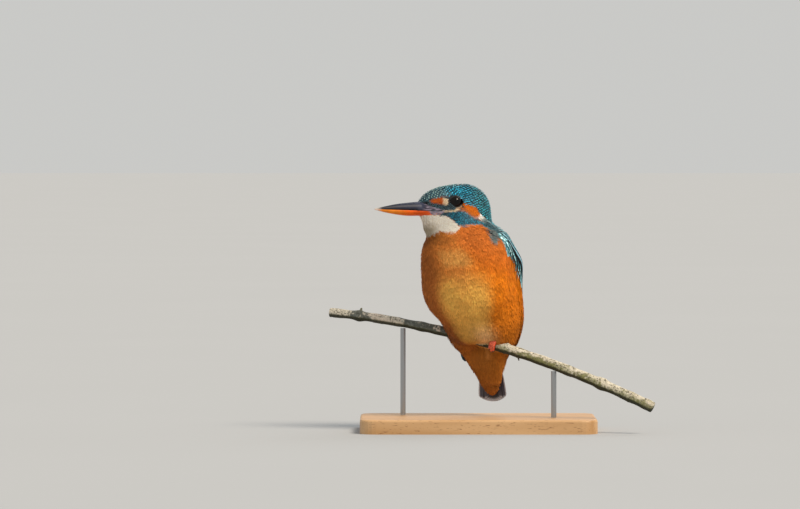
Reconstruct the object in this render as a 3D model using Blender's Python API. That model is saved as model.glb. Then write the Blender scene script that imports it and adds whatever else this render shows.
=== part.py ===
"""A common kingfisher, life size, at rest on a cut length of branch that two rods hold over a flat base.

Lengths below are millimetres in the bird's own axes: forward, left, up, from the middle of the perch.
The body is one smooth volume: ellipsoids blended into each other. Rays leave a spine that runs from the
head to the tail and stop at the edge of that volume, so the body is a grid of rings, and the head, neck,
trunk and tail are lengths of it. Wings are shells laid on the same volume. World axes are metres, with
the origin at the middle of the base's underside and +Z up.
"""

import math

import bmesh
import bpy
import numpy as np

MM = 0.001
GAP = 0.3  # between solids that touch

# Stand
BASE_LENGTH, BASE_WIDTH, BASE_THICKNESS, BASE_CORNER, BASE_RIM = 132.0, 78.0, 8.0, 9.0, 1.2
ROD_RADIUS, ROD_REACH = 1.5, 42.0  # reach: along X from the middle of the base
PERCH_HEIGHT = 52.0

# Perch
PERCH_LEFT, PERCH_RIGHT = -83.0, 96.0
PERCH_TURN = math.radians(20.0)  # the right end comes towards the front
PERCH_RADIUS, PERCH_GROWTH = 2.72, 0.0026  # it thickens to the right
PERCH_SLOPE, PERCH_SAG, PERCH_DROP = -0.268, -0.0011, -1.3
PERCH_KNOTS = (  # place along X, how far the bark swells
    (-66.5, 0.8), (-31.0, 0.3), (15.5, 0.35), (22.0, 0.3), (50.5, 0.3), (68.0, 0.5), (84.0, 0.3)
)
KNOT_WIDTH = 2.6
PERCH_STUBS = (("bud_above", -66.5, 4.6, 1.0), ("thorn_below", 21.6, -4.9, 0.6))  # place, rise, radius

# Pose of the bird
HEADING = math.radians(28.0)  # the trunk faces this far to the left of the front
HEAD_TURN = math.radians(-40.0)  # and the head further still
HEAD_PITCH = math.radians(1.5)
ROLL = math.radians(4.0)
HEAD_CENTRE = np.array([11.0, -5.5, 72.5])

# Body volume: centre, half lengths, lean in degrees
BODY_LUMPS = {
    "breast": ((9.5, 0, 45.5), (18.5, 26.0, 23.0), 0),
    "belly": ((6.2, -1.7, 30.0), (20.5, 26.2, 24.5), 0),
    "lower_belly": ((3.5, -1.5, 8.0), (11.0, 15.0, 11.0), 0),
    "back": ((-5, 0, 36.0), (18.0, 22.5, 30.0), 6),
    "rump": ((-12, -2, 0.0), (8, 15.0, 21.0), 4),
    "undertail": ((-12.5, -0.8, -15.0), (5.0, 7.6, 17.5), 8),
    "flank_left": ((-7, 11.0, 13.0), (13, 11.6, 22.0), 0),
    "flank_right": ((-7, -12.3, 15.0), (13, 11.5, 22.0), 0),
    "shoulders": ((0, -1, 53), (15, 18.5, 12), 0),
    "neck": ((6, -3.5, 60), (14.5, 14, 15), 0),
}
HEAD_LUMPS = {
    "cranium": ((-4.5, 0, 1.2), (15.5, 12.0, 12.8), 0),
    "crown_back": ((-8.5, 0, 0.6), (12.2, 11.2, 11.2), 0),
    "brow": ((8.4, 0, 3.0), (11.6, 6.6, 9.2), -14),
    "face": ((11.0, 0, 0.8), (8.6, 4.3, 5.4), 0),
    "cheek_left": ((-2.5, 4.6, -4.5), (12.0, 7.6, 8.0), 0),
    "cheek_right": ((-2.5, -4.6, -4.5), (12.0, 7.6, 8.0), 0),
    "nape": ((-8, 0, -5), (11.0, 11.5, 12.5), 0),
    "throat": ((6.8, 0, -8.6), (10.4, 6.6, 6.4), -8),
}
BLEND = 6.0
REACH = 60.0  # farther from the spine than any point of the body
SPINE = np.array(
    [[9, -5, 73], [7, -3.5, 62], [3, 0, 47], [0, 0, 30], [-3.5, 0, 12], [-9, 0, -5], [-12.5, 0, -20.0]]
)
AROUND = 36  # points in each ring of the body
HEAD_END, NECK_END, TRUNK_END = 0.19, 0.29, 0.84  # as parts of the spine
SPINE_GAP = 0.0035

# Wings: along the spine, and round the body in degrees from the front
WING_ALONG = (0.205, 0.60)
PRIMARY_START = 0.606
WING_TIP = {"left": 0.885, "right": 0.93}  # the right wing hangs a little lower
WING_EDGE = (70, 76, 90, 104, 109, 109, 106, 102, 98)  # lower edge, evenly spaced from shoulder to tip
WING_BACK = (140, 157, 166, 169, 169, 166, 160, 148, 116)  # upper edge, beside the stripe down the back
WING_THICK, WING_RIM = 2.0, 0.55

# Tail feathers
TAIL_ROOT, TAIL_TIP = np.array([-15.0, -0.4, -12.0]), np.array([-18.0, -1.45, -36.2])
TAIL_ROOT_HALF, TAIL_TIP_HALF, TAIL_THICK = 6.1, 8.7, 1.9
TAIL_ARCH, TAIL_ROUNDING = 1.3, 3.4  # how far the edges lie forwards, and end above the middle

# Bill, in the head's axes
BILL_BASE, BILL_TIP = 8.0, 46.6
GAPE_Z, TIP_Z = -0.95, 1.4
CULMEN = (5.6, 5.3, 4.95, 4.55, 3.95, 2.9, 1.75)  # upper edge, evenly spaced from base to tip
GONYS = (-2.9, -2.9, -2.9, -2.75, -1.9, -0.6, 1.05)  # lower edge
BILL_HALF = (5.6, 5.1, 4.3, 3.4, 2.45, 1.45, 0.3)
BILL_RINGS, BILL_ARCH = 13, 9  # sections, and points over each

# Eyes, in the head's axes
EYE_RADIUS, EYE_DEPTH = 3.9, 2.6  # depth: from the feathers' surface to the eyeball's middle
EYE_FROM, EYE_AXIS = np.array([0.8, 0, 3.5]), np.array([0.10, 1.0, 0.06])

# Legs and feet
FOOT_SPREAD = 8.2  # each foot from the middle, along the perch
TOE_RADIUS = 0.85
TOE_OFFSETS = {"inner": -1.45, "middle": 0.05, "outer": 1.25}
TOE_SWEEP = {"inner": 128, "middle": 150, "outer": 140, "hind": -118}  # degrees round the perch
TOE_TAPER = np.array([1.05, 1.0, 1.0, 0.97, 0.95, 0.85, 0.5, 0.2])
TOE_LIFT = 0.45  # the sole's pads, between the toes and the perch
TOE_RINGS = len(TOE_TAPER)
SOLE_RADIUS = 1.5
SHIN_UP, SHIN_BACK = 7.0, 2.5
SHIN_RADII = (1.25, 1.5, 1.45, 1.4, 1.4, 1.5, 1.7)  # the first four are the ankle's
SHIN_ROOM, FOOT_ROOM = 2.15, 0.25


def axes(yaw, pitch):
    """Forward, left and up of a frame turned about up and then raised at its front, as columns."""
    flat = math.cos(pitch)
    forward = np.array([math.cos(yaw) * flat, math.sin(yaw) * flat, math.sin(pitch)])
    left = np.array([-math.sin(yaw), math.cos(yaw), 0.0])
    return np.stack([forward, left, np.cross(forward, left)], axis=1)


HEAD_AXES = axes(HEAD_TURN, HEAD_PITCH)


def from_head(points):
    return HEAD_CENTRE + np.asarray(points, float) @ HEAD_AXES.T


def from_bird(points):
    """World place, in millimetres, of points in the bird's axes."""
    forward = np.array([-math.sin(HEADING), -math.cos(HEADING), 0.0])
    side = np.array([math.cos(HEADING), -math.sin(HEADING), 0.0])
    up = np.array([0.0, 0.0, 1.0])
    left = math.cos(ROLL) * side + math.sin(ROLL) * up
    top = math.cos(ROLL) * up - math.sin(ROLL) * side
    return np.asarray(points, float) @ np.stack([forward, left, top]) + [0, 0, PERCH_HEIGHT]


def all_lumps():
    for centre, half, lean in BODY_LUMPS.values():
        yield np.array(centre, float), axes(0.0, -math.radians(lean)), np.array(half, float)
    for centre, half, lean in HEAD_LUMPS.values():
        yield from_head(centre), HEAD_AXES @ axes(0.0, math.radians(lean)), np.array(half, float)


def depth(points):
    """About how far outside the body each point is: ellipsoid distances joined by a smooth minimum."""
    total = None
    for centre, turn, half in all_lumps():
        local = (points - centre) @ turn
        reach = np.linalg.norm(local / half, axis=-1)
        slope = np.linalg.norm(local / half**2, axis=-1)
        each = reach * (reach - 1) / np.maximum(slope, 1e-9)
        if total is None:
            total = each
            continue
        mix = np.clip(0.5 + 0.5 * (total - each) / BLEND, 0, 1)
        total = total * (1 - mix) + each * mix - BLEND * mix * (1 - mix)
    return total


def along(values, place):
    """Catmull-Rom curve through evenly spaced values, read at places from 0 to 1."""
    values = np.asarray(values, float)
    if values.ndim == 1:
        return along(values[:, None], place)[..., 0]
    last = len(values) - 1
    spot = np.clip(place, 0, 1) * last
    cell = np.minimum(spot.astype(int), last - 1)
    t = (spot - cell)[..., None]
    ends = np.vstack([2 * values[0] - values[1], values, 2 * values[-1] - values[-2]])
    a, b, c, d = ends[cell], ends[cell + 1], ends[cell + 2], ends[cell + 3]
    bend = (2 * a - 5 * b + 4 * c - d) * t**2 + (-a + 3 * b - 3 * c + d) * t**3
    return 0.5 * (2 * b + (c - a) * t + bend)


def surface(place, angle, rise=0.0, proud=0.0):
    """Where a ray from the spine meets the body, or the same volume grown by proud.

    place runs 0 to 1 from head to tail, angle goes round from the front to the left, and rise tips the
    ray towards the head, all in arrays of one shape. The rays' plane turns with the head at the top of
    the spine and leans with the tail at its foot.
    """
    place, angle, rise, proud = np.broadcast_arrays(*np.atleast_1d(place, angle, rise, proud))
    ease = place**2 * (3 - 2 * place)
    tail_axis = SPINE[-2] - SPINE[-1]
    tail_axis = tail_axis / np.linalg.norm(tail_axis)
    normal = (1 - ease)[..., None] * np.array([0, 0, 1.0]) + ease[..., None] * tail_axis
    normal /= np.linalg.norm(normal, axis=-1, keepdims=True)
    yaw = HEAD_TURN * (1 - np.clip(2.5 * place, 0, 1))
    front = np.stack([np.cos(yaw), np.sin(yaw), np.zeros_like(yaw)], axis=-1)
    front -= (front * normal).sum(-1, keepdims=True) * normal
    front /= np.linalg.norm(front, axis=-1, keepdims=True)
    left = np.cross(normal, front)
    level = np.cos(angle)[..., None] * front + np.sin(angle)[..., None] * left
    ray = np.cos(rise)[..., None] * level + np.sin(rise)[..., None] * normal
    start = along(SPINE, place)
    near, far = np.zeros(place.shape), np.full(place.shape, REACH)
    for _ in range(24):
        middle = (near + far) / 2
        inside = depth(start + ray * middle[..., None]) < proud
        near, far = np.where(inside, middle, near), np.where(inside, far, middle)
    return start + ray * near[..., None]


def rings(places, rises, proud=0.0):
    angle = np.linspace(0, 2 * math.pi, AROUND, endpoint=False)
    return surface(np.array(places)[:, None], angle[None, :], np.radians(rises)[:, None], proud)


def closed_tube(loops, first=None, last=None):
    """Points and faces of a skin over loops of points, closed at each end by a fan to a middle point."""
    count, width = len(loops), len(loops[0])
    points = [tuple(p) for loop in loops for p in loop]
    points += [tuple(np.mean(loops[0], axis=0) if first is None else first)]
    points += [tuple(np.mean(loops[-1], axis=0) if last is None else last)]
    faces = []
    for row in range(count - 1):
        for i in range(width):
            a, b = row * width + i, row * width + (i + 1) % width
            faces.append((a, b, b + width, a + width))
    top, bottom, end = count * width, count * width + 1, (count - 1) * width
    for i in range(width):
        faces.append((top, (i + 1) % width, i))
        faces.append((bottom, end + i, end + (i + 1) % width))
    return points, faces


def closed_shell(outer, inner):
    """Points and faces of a sheet with thickness: two grids of one size, joined round their edges."""
    rows, columns = outer.shape[:2]
    points = [tuple(p) for p in outer.reshape(-1, 3)] + [tuple(p) for p in inner.reshape(-1, 3)]
    below = rows * columns
    faces = []
    for r in range(rows - 1):
        for c in range(columns - 1):
            a = r * columns + c
            quad = (a, a + 1, a + columns + 1, a + columns)
            faces.append(quad)
            faces.append(tuple(below + i for i in reversed(quad)))
    edge = list(range(columns))
    edge += [r * columns + columns - 1 for r in range(1, rows)]
    edge += [(rows - 1) * columns + c for c in range(columns - 2, -1, -1)]
    edge += [r * columns for r in range(rows - 2, 0, -1)]
    for a, b in zip(edge, edge[1:] + edge[:1]):
        faces.append((b, a, below + a, below + b))
    return points, faces


def material(name, colour, roughness, metallic=0.0):
    made = bpy.data.materials.new(name)
    made.use_nodes = True
    shader = made.node_tree.nodes["Principled BSDF"]
    linear = [((c / 255 + 0.055) / 1.055) ** 2.4 if c > 10 else c / 3294.6 for c in colour]
    shader.inputs["Base Color"].default_value = (*linear, 1)
    shader.inputs["Roughness"].default_value = roughness
    shader.inputs["Metallic"].default_value = metallic
    return made


def make(name, points, faces, finish=None, guide=False, place=from_bird):
    """An object from points in millimetres, with its faces turned outwards."""
    mesh = bpy.data.meshes.new(name)
    world = np.asarray(place(points), float) * MM
    mesh.from_pydata(world.tolist(), [], faces)
    shape = bmesh.new()
    shape.from_mesh(mesh)
    bmesh.ops.recalc_face_normals(shape, faces=shape.faces)
    shape.to_mesh(mesh)
    shape.free()
    obj = bpy.data.objects.new(name, mesh)
    bpy.context.collection.objects.link(obj)
    if guide:
        obj.hide_render = True
        obj.display_type = "WIRE"
    else:
        mesh.shade_smooth()
        mesh.materials.append(finish)
    return obj


def boolean(obj, other, operation):
    step = obj.modifiers.new(f"{operation.lower()}_{other.name}", "BOOLEAN")
    step.operation = operation
    step.solver = "EXACT"
    step.object = other


def in_place(points):
    return points


def ball_loops(centre, radius, rows=7, columns=14):
    """Rings of a sphere from its top to its bottom, without the poles."""
    loops = []
    for lean in np.linspace(0, math.pi, rows + 2)[1:-1]:
        turn = np.linspace(0, 2 * math.pi, columns, endpoint=False)
        ring = np.stack([np.cos(turn) * math.sin(lean), np.sin(turn) * math.sin(lean)], axis=1)
        loops.append(centre + radius * np.column_stack([ring, np.full(columns, math.cos(lean))]))
    return loops


def ball(name, centre, radius, finish=None, guide=False):
    poles = np.array([0, 0, radius])
    points, faces = closed_tube(ball_loops(centre, radius), centre + poles, centre - poles)
    return make(name, points, faces, finish, guide)


def pipe_loops(path, radii, columns, reference=(0.02, 0.13, 1.0)):
    """Rings of the given radii square to a path of points that never heads along the reference."""
    path = np.asarray(path, float)
    heading = np.gradient(path, axis=0)
    heading /= np.linalg.norm(heading, axis=1, keepdims=True)
    side = np.cross(heading, reference)
    side /= np.linalg.norm(side, axis=1, keepdims=True)
    other = np.cross(heading, side)
    turn = np.linspace(0, 2 * math.pi, columns, endpoint=False)
    loops = []
    for i, middle in enumerate(path):
        spokes = np.cos(turn)[:, None] * side[i] + np.sin(turn)[:, None] * other[i]
        loops.append(middle + radii[i] * spokes)
    return loops


# Perch and stand


def perch_point(x):
    """Centre of the perch at X = x, in world millimetres."""
    x = np.asarray(x, float)
    height = PERCH_HEIGHT + PERCH_DROP + PERCH_SLOPE * x + PERCH_SAG * x**2
    return np.stack([x, -math.tan(PERCH_TURN) * x, height], axis=-1)


def perch_radius(x):
    """The branch thickens to the right and swells at its knots."""
    x = np.asarray(x, float)
    swell = sum(size * np.exp(-(((x - at) / KNOT_WIDTH) ** 2)) for at, size in PERCH_KNOTS)
    waves = 0.09 * np.sin(0.21 * x) + 0.06 * np.sin(0.55 * x + 1.0)
    return PERCH_RADIUS + PERCH_GROWTH * x + waves + swell


def make_perch(bark):
    x = np.linspace(PERCH_LEFT, PERCH_RIGHT, 42)
    loops = pipe_loops(perch_point(x), perch_radius(x), 10)
    perch = make("perch", *closed_tube(loops), bark, place=in_place)
    t = np.linspace(0, 1, 5)
    for name, at, rise, size in PERCH_STUBS:
        path = perch_point(at) + t[:, None] * [0.25 * abs(rise), 0, rise]
        loops = pipe_loops(path, size * (1.5 - 1.05 * t), 8)
        stub = make(name, *closed_tube(loops), guide=True, place=in_place)
        boolean(perch, stub, "UNION")
    return perch


def make_stand(wood, metal):
    bpy.ops.mesh.primitive_cube_add(size=1, location=(0, 0, BASE_THICKNESS * MM / 2))
    base = bpy.context.object
    base.name = "stand_base"
    sides = np.diag([BASE_LENGTH * MM, BASE_WIDTH * MM, BASE_THICKNESS * MM, 1])
    base.data.transform(sides.tolist())
    corners = bmesh.new()
    corners.from_mesh(base.data)
    tall = 0.5 * BASE_THICKNESS * MM
    upright = [e for e in corners.edges if abs(e.verts[0].co.z - e.verts[1].co.z) > tall]
    bmesh.ops.bevel(corners, geom=upright, offset=BASE_CORNER * MM, segments=6, profile=0.5, affect="EDGES")
    rim = [e for e in corners.edges if min(v.co.z for v in e.verts) > 0 and e.calc_face_angle(0) > 1.2]
    bmesh.ops.bevel(corners, geom=rim, offset=BASE_RIM * MM, segments=2, profile=0.5, affect="EDGES")
    corners.to_mesh(base.data)
    corners.free()
    base.data.materials.append(wood)
    base.data.shade_smooth()
    base.data.set_sharp_from_angle(angle=math.radians(40))
    for side, x in (("left", -ROD_REACH), ("right", ROD_REACH)):
        middle = perch_point(x)
        lean = 0.5 * abs(PERCH_SLOPE + 2 * PERCH_SAG * x) * ROD_RADIUS
        top = middle[2] - float(perch_radius(x)) - GAP - lean
        heights = np.array([BASE_THICKNESS + GAP, top])
        path = np.column_stack([np.full(2, middle[0]), np.full(2, middle[1]), heights])
        loops = pipe_loops(path, (ROD_RADIUS, ROD_RADIUS), 16)
        rod = make(f"stand_rod_{side}", *closed_tube(loops), metal, place=in_place)
        rod.data.set_sharp_from_angle(angle=math.radians(40))


# Body


def body_length(name, start, end, rises_before=(), rises_after=(), rows=10, finish=None):
    """One length of the body, from start to end of the spine, closed by its pole or by a flat cut."""
    middle = np.linspace(start, end, rows)
    places = np.concatenate([np.full(len(rises_before), start), middle, np.full(len(rises_after), end)])
    rises = np.concatenate([rises_before, np.zeros(rows), rises_after])
    loops = rings(places, rises)
    first = None if len(rises_before) else along(SPINE, np.array([start]))[0]
    last = None if len(rises_after) else along(SPINE, np.array([end]))[0]
    return make(name, *closed_tube(loops, first, last), finish)


def make_body(coat):
    upper = np.linspace(86, 9, 10)
    lower = -np.linspace(14, 84, 5)
    head = body_length("head", 0.0, HEAD_END, rises_before=upper, rows=6, finish=coat["head"])
    body_length("neck", HEAD_END + SPINE_GAP, NECK_END, rows=4, finish=coat["neck"])
    trunk = body_length("trunk", NECK_END + SPINE_GAP, TRUNK_END, rows=17, finish=coat["trunk"])
    tail = body_length("tail", TRUNK_END + SPINE_GAP, 1.0, rises_after=lower, rows=5, finish=coat["tail"])
    return head, trunk, tail


def make_tail_feathers(tail):
    """A fan of closed feathers: a plate that widens to a rounded end and arches across."""
    t = np.linspace(0, 1, 7)
    w = np.linspace(-1, 1, 9)
    half = TAIL_ROOT_HALF + (TAIL_TIP_HALF - TAIL_ROOT_HALF) * np.sin(t * math.pi / 2)
    middle = TAIL_ROOT + (TAIL_TIP - TAIL_ROOT) * t[:, None]
    sheets = []
    for face in (1, -1):
        thick = 0.5 * TAIL_THICK * (1 - 0.45 * w**2) * (1 - 0.4 * t[:, None])
        grid = np.empty((len(t), len(w), 3))
        grid[..., 0] = middle[:, :1] + TAIL_ARCH * w**2 + face * thick
        grid[..., 1] = middle[:, 1:2] + half[:, None] * w
        grid[..., 2] = middle[:, 2:] + TAIL_ROUNDING * (1 - np.sqrt(1 - 0.96 * w**2)) * t[:, None] ** 4
        sheets.append(grid)
    feathers = make("tail_feathers", *closed_shell(*sheets), guide=True)
    boolean(tail, feathers, "UNION")


def make_wing(side, sign, coverts, quills):
    """Two shells on the body's side: the coverts with the short flight feathers, then the long ones."""
    first, last = WING_ALONG[0], WING_TIP[side]
    for name, (start, end), rows, finish in (
        (f"wing_{side}", WING_ALONG, 13, coverts),
        (f"primaries_{side}", (PRIMARY_START, last), 9, quills),
    ):
        place = np.linspace(start, end, rows)[:, None]
        t = (place - first) / (last - first)
        across = np.linspace(0, 1, 9)[None, :]
        low, high = along(WING_EDGE, t[:, 0])[:, None], along(WING_BACK, t[:, 0])[:, None]
        angle = sign * np.radians(low + (high - low) * across)
        # Thickest along the middle, thin at all its edges and towards the tip.
        crown = (1 - (2 * across - 1) ** 4) * np.sqrt(np.clip(1 - (2 * t - 1) ** 6, 0, 1)) * (1 - 0.45 * t)
        thick = WING_RIM + (WING_THICK - WING_RIM) * crown
        place = np.broadcast_to(place, angle.shape)
        outer = surface(place, angle, proud=GAP + thick)
        inner = surface(place, angle, proud=GAP + 0.02)
        make(name, *closed_shell(outer, inner), finish)


# Bill, eyes


def bill_loops(upper):
    """Rings of one half of the bill: an arch over the line where the halves meet, flat on that line."""
    t = np.linspace(0, 1, BILL_RINGS)
    turn = np.linspace(-math.pi / 2, math.pi / 2, BILL_ARCH)
    x = BILL_BASE + (BILL_TIP - BILL_BASE) * t
    meet = GAPE_Z + (TIP_Z - GAPE_Z) * t
    edge = along(CULMEN if upper else GONYS, t)
    half = along(BILL_HALF, t)
    sign = 1 if upper else -1
    loops = []
    for i in range(BILL_RINGS):
        rise = abs(edge[i] - meet[i]) - GAP / 2
        z = meet[i] + sign * (GAP / 2 + rise * np.cos(turn) ** 0.85)
        arch = np.column_stack([np.full(BILL_ARCH, x[i]), half[i] * np.sin(turn), z])
        loops.append(from_head(arch))
    return loops


def make_bill(grown_head, horn):
    for name, upper in (("bill_upper", True), ("bill_lower", False)):
        half = make(name, *closed_tube(bill_loops(upper)), horn[name])
        half.data.set_sharp_from_angle(angle=math.radians(50))
        boolean(half, grown_head, "DIFFERENCE")


def eye_centre(sign):
    """The eyeball's middle, in the bird's axes, from where its axis leaves the head."""
    turn = EYE_AXIS * [1, sign, 1]
    turn = HEAD_AXES @ (turn / np.linalg.norm(turn))
    start = from_head(EYE_FROM)
    reach = np.linspace(0, 20, 2001)
    out = reach[np.argmax(depth(start + turn * reach[:, None]) > 0)]
    return start + turn * (out - EYE_DEPTH)


def make_eyes(head, shine):
    for side, sign in (("left", 1), ("right", -1)):
        centre = eye_centre(sign)
        ball(f"eye_{side}", centre, EYE_RADIUS, shine)
        boolean(head, ball(f"socket_{side}", centre, EYE_RADIUS + GAP, guide=True), "DIFFERENCE")


# Legs and feet


def foot_frame(sign):
    """Middle of the perch under one foot, and the directions along it, forwards over it and up."""
    x = sign * FOOT_SPREAD
    middle = perch_point(x)
    run = perch_point(x + 0.5) - perch_point(x - 0.5)
    run /= np.linalg.norm(run)
    forward = np.cross(run, [0, 0, 1.0])
    forward /= np.linalg.norm(forward)
    return middle, run, forward, np.cross(forward, run)


def toe_reach(sign):
    """From the middle of the perch to the middle of a toe on it."""
    return float(perch_radius(sign * FOOT_SPREAD)) + GAP + TOE_LIFT + TOE_RADIUS


def toe_path(sign, offset, sweep):
    """Points of a toe that leaves the top of the perch and curls round it, ending in its claw."""
    middle, run, forward, up = foot_frame(sign)
    t = np.linspace(0, 1, TOE_RINGS)
    angle = np.radians(sweep * t)
    ring = np.cos(angle)[:, None] * up + np.sin(angle)[:, None] * forward
    spread = offset * (0.35 + 0.65 * np.sqrt(t))
    return middle + toe_reach(sign) * ring + spread[:, None] * run


def make_foot(side, sign, scales):
    """Four toes, a sole and an ankle as one foot, with the shin over it. Returns the shin's path."""
    middle, run, forward, up = foot_frame(sign)
    foot, parts = None, {}
    for toe, sweep in TOE_SWEEP.items():
        path = toe_path(sign, TOE_OFFSETS.get(toe, 0.0), sweep)
        parts[f"toe_{toe}"] = closed_tube(pipe_loops(path, TOE_RADIUS * TOE_TAPER, 6, run))
    start = middle + toe_reach(sign) * up
    lean = np.array([0, 0, SHIN_UP]) - forward * SHIN_BACK
    ankle = start + np.array([-0.02, 0.12, 0.26, 0.4])[:, None] * lean
    parts["ankle"] = closed_tube(pipe_loops(ankle, SHIN_RADII[:4], 10))
    pole = np.array([0, 0, SOLE_RADIUS])
    parts["sole"] = closed_tube(ball_loops(start, SOLE_RADIUS, 7, 12), start + pole, start - pole)
    for name, piece in parts.items():
        if foot is None:
            foot = make(f"foot_{side}", *piece, scales, place=in_place)
        else:
            boolean(foot, make(f"{name}_{side}", *piece, guide=True, place=in_place), "UNION")
    shin = ankle[-1] + lean / np.linalg.norm(lean) * GAP + np.array([0, 0.5, 1.0])[:, None] * lean
    make(f"leg_{side}", *closed_tube(pipe_loops(shin, SHIN_RADII[4:], 10)), scales, place=in_place)
    return shin


def hollow_belly(trunk, tail, shins):
    """The plumage parts round the perch, the feet and the shins."""

    def cutter(name, path, radii, columns):
        return make(name, *closed_tube(pipe_loops(path, radii, columns)), guide=True, place=in_place)

    x = np.linspace(-34, 34, 21)
    groove = cutter("groove", perch_point(x), perch_radius(x) + 1.5 * GAP, 16)
    rooms = [groove]
    for side, sign in (("left", 1), ("right", -1)):
        x = sign * FOOT_SPREAD + np.linspace(-4.2, 4.2, 4)
        wide = toe_reach(sign) + TOE_RADIUS + GAP + FOOT_ROOM
        rooms.append(cutter(f"foot_room_{side}", perch_point(x), np.full(4, wide), 16))
        shin = shins[side]
        run = (shin[-1] - shin[0]) / np.linalg.norm(shin[-1] - shin[0])
        path = [shin[0] - run * 4.5, shin[0], shin[-1], shin[-1] + run * 2 * GAP]
        rooms.append(cutter(f"leg_room_{side}", path, np.full(4, SHIN_ROOM), 12))
    for room in rooms:
        boolean(trunk, room, "DIFFERENCE")
    boolean(tail, groove, "DIFFERENCE")


def main():
    for obj in list(bpy.data.objects):
        bpy.data.objects.remove(obj, do_unlink=True)
    coat = {
        "head": material("crown_feathers", (24, 92, 112), 0.6),
        "neck": material("throat_feathers", (214, 196, 170), 0.8),
        "trunk": material("breast_feathers", (206, 118, 42), 0.8),
        "tail": material("undertail_feathers", (178, 96, 38), 0.8),
    }
    make_perch(material("branch_bark", (134, 128, 104), 0.9))
    wood = material("oiled_beech", (176, 140, 98), 0.5)
    make_stand(wood, material("steel_rod", (150, 152, 155), 0.3, metallic=1.0))
    head, trunk, tail = make_body(coat)
    make_tail_feathers(tail)
    rows = np.concatenate([np.full(12, 0.0), np.linspace(0, HEAD_END + 0.03, 8)])
    rises = np.concatenate([np.linspace(86, 7, 12), np.zeros(8)])
    grown = make("grown_head", *closed_tube(rings(rows, rises, proud=GAP + 0.1)), guide=True)
    make_bill(grown, {
        "bill_upper": material("upper_bill_horn", (74, 69, 80), 0.35),
        "bill_lower": material("lower_bill_horn", (232, 96, 34), 0.35),
    })
    make_eyes(head, material("eye", (18, 12, 10), 0.05))
    coverts = material("wing_coverts", (26, 92, 104), 0.6)
    quills = material("flight_feathers", (20, 50, 62), 0.6)
    for side, sign in (("left", 1), ("right", -1)):
        make_wing(side, sign, coverts, quills)
    scales = material("foot_scales", (224, 74, 42), 0.45)
    shins = {side: make_foot(side, sign, scales) for side, sign in (("left", 1), ("right", -1))}
    hollow_belly(trunk, tail, shins)


main()
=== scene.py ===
# %% [markdown]
# # A kingfisher on its perch
# This lesson dresses a packed construction model of a common kingfisher: a smooth closed body, wings, a
# bill, two feet, a cut branch and a small display stand. The construction model has the right sizes and
# nothing else. Here it gets plumage, horn, skin, bark and wood. Every piece is worked out as whole numpy
# arrays and then put into a mesh, because a bird has thousands of feathers and they all follow one rule.

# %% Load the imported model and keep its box
import math

import bpy
import numpy as np
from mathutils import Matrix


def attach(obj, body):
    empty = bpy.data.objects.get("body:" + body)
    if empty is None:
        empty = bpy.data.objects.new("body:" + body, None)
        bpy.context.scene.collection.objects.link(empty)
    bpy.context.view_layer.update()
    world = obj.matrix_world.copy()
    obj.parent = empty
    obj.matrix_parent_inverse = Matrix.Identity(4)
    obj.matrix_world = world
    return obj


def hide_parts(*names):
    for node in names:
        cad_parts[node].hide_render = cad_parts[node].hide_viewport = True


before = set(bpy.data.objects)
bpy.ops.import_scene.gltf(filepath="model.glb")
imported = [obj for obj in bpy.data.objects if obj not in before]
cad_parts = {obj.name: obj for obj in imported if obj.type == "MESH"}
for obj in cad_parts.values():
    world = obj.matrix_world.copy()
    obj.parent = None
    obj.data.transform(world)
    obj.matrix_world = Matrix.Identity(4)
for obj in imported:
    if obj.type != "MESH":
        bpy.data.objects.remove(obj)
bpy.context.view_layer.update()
MM = 0.001

# %% [markdown]
# ## Camera, floor and light
# The bird is seen from its own level with a long lens, so the lines of the perch and the bill hardly
# converge. A long lens far away gives that look: the field is 448 mm wide at three metres. The floor is a
# plain pale sheet. A wide soft sun from the right, a weak one from behind and a pale world leave the
# shaded side of the breast readable, as under a bright, thinly clouded sky.

# %% Camera
DISTANCE, FIELD, SENSOR = 3.0, 0.448, 36.0
AIM = np.array([-0.0437, 0.0, 0.0988])
CAMERA_LIFT = math.radians(1.2)


def linear(code):
    """The linear RGB of an sRGB hex colour: each channel is raised by the sRGB curve."""
    value = np.array([int(code[i : i + 2], 16) / 255 for i in (1, 3, 5)])
    return np.where(value > 0.04045, ((value + 0.055) / 1.055) ** 2.4, value / 12.92)


def mixed(colours, *layers):
    """Colours with hex colours laid over them, each by its share. The first may be one hex colour for all."""
    colours = linear(colours) if isinstance(colours, str) else colours
    for code, share in layers:
        share = np.asarray(share, float)[..., None]
        colours = colours * (1 - share) + linear(code) * share
    return colours


def unit(vectors):
    """Vectors over their own lengths."""
    return vectors / np.linalg.norm(vectors, axis=-1, keepdims=True)


def turned(first, second, angle):
    """The first direction turned towards the second one: cos(angle) * first + sin(angle) * second."""
    angle = np.asarray(angle)[..., None]
    return np.cos(angle) * first + np.sin(angle) * second


lens = bpy.data.cameras.new("lens")
lens.sensor_width, lens.lens = SENSOR, SENSOR * DISTANCE / FIELD
lens.clip_start, lens.clip_end = 0.05, 60.0
camera = bpy.data.objects.new("camera", lens)
camera.location = AIM + DISTANCE * np.array([0, -math.cos(CAMERA_LIFT), math.sin(CAMERA_LIFT)])
camera.rotation_euler = (math.pi / 2 - CAMERA_LIFT, 0, 0)
bpy.context.scene.collection.objects.link(camera)
bpy.context.scene.camera = camera
print("lens, mm:", round(lens.lens, 1))

# %% One helper for material nodes


def feed(tree, value, socket):
    """Fills an input with a plain value, with another node's output, or with the first output of a node."""
    if isinstance(value, bpy.types.Node):
        value = value.outputs[0]
    if isinstance(value, bpy.types.NodeSocket):
        tree.links.new(value, socket)
    else:
        socket.default_value = value


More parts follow.
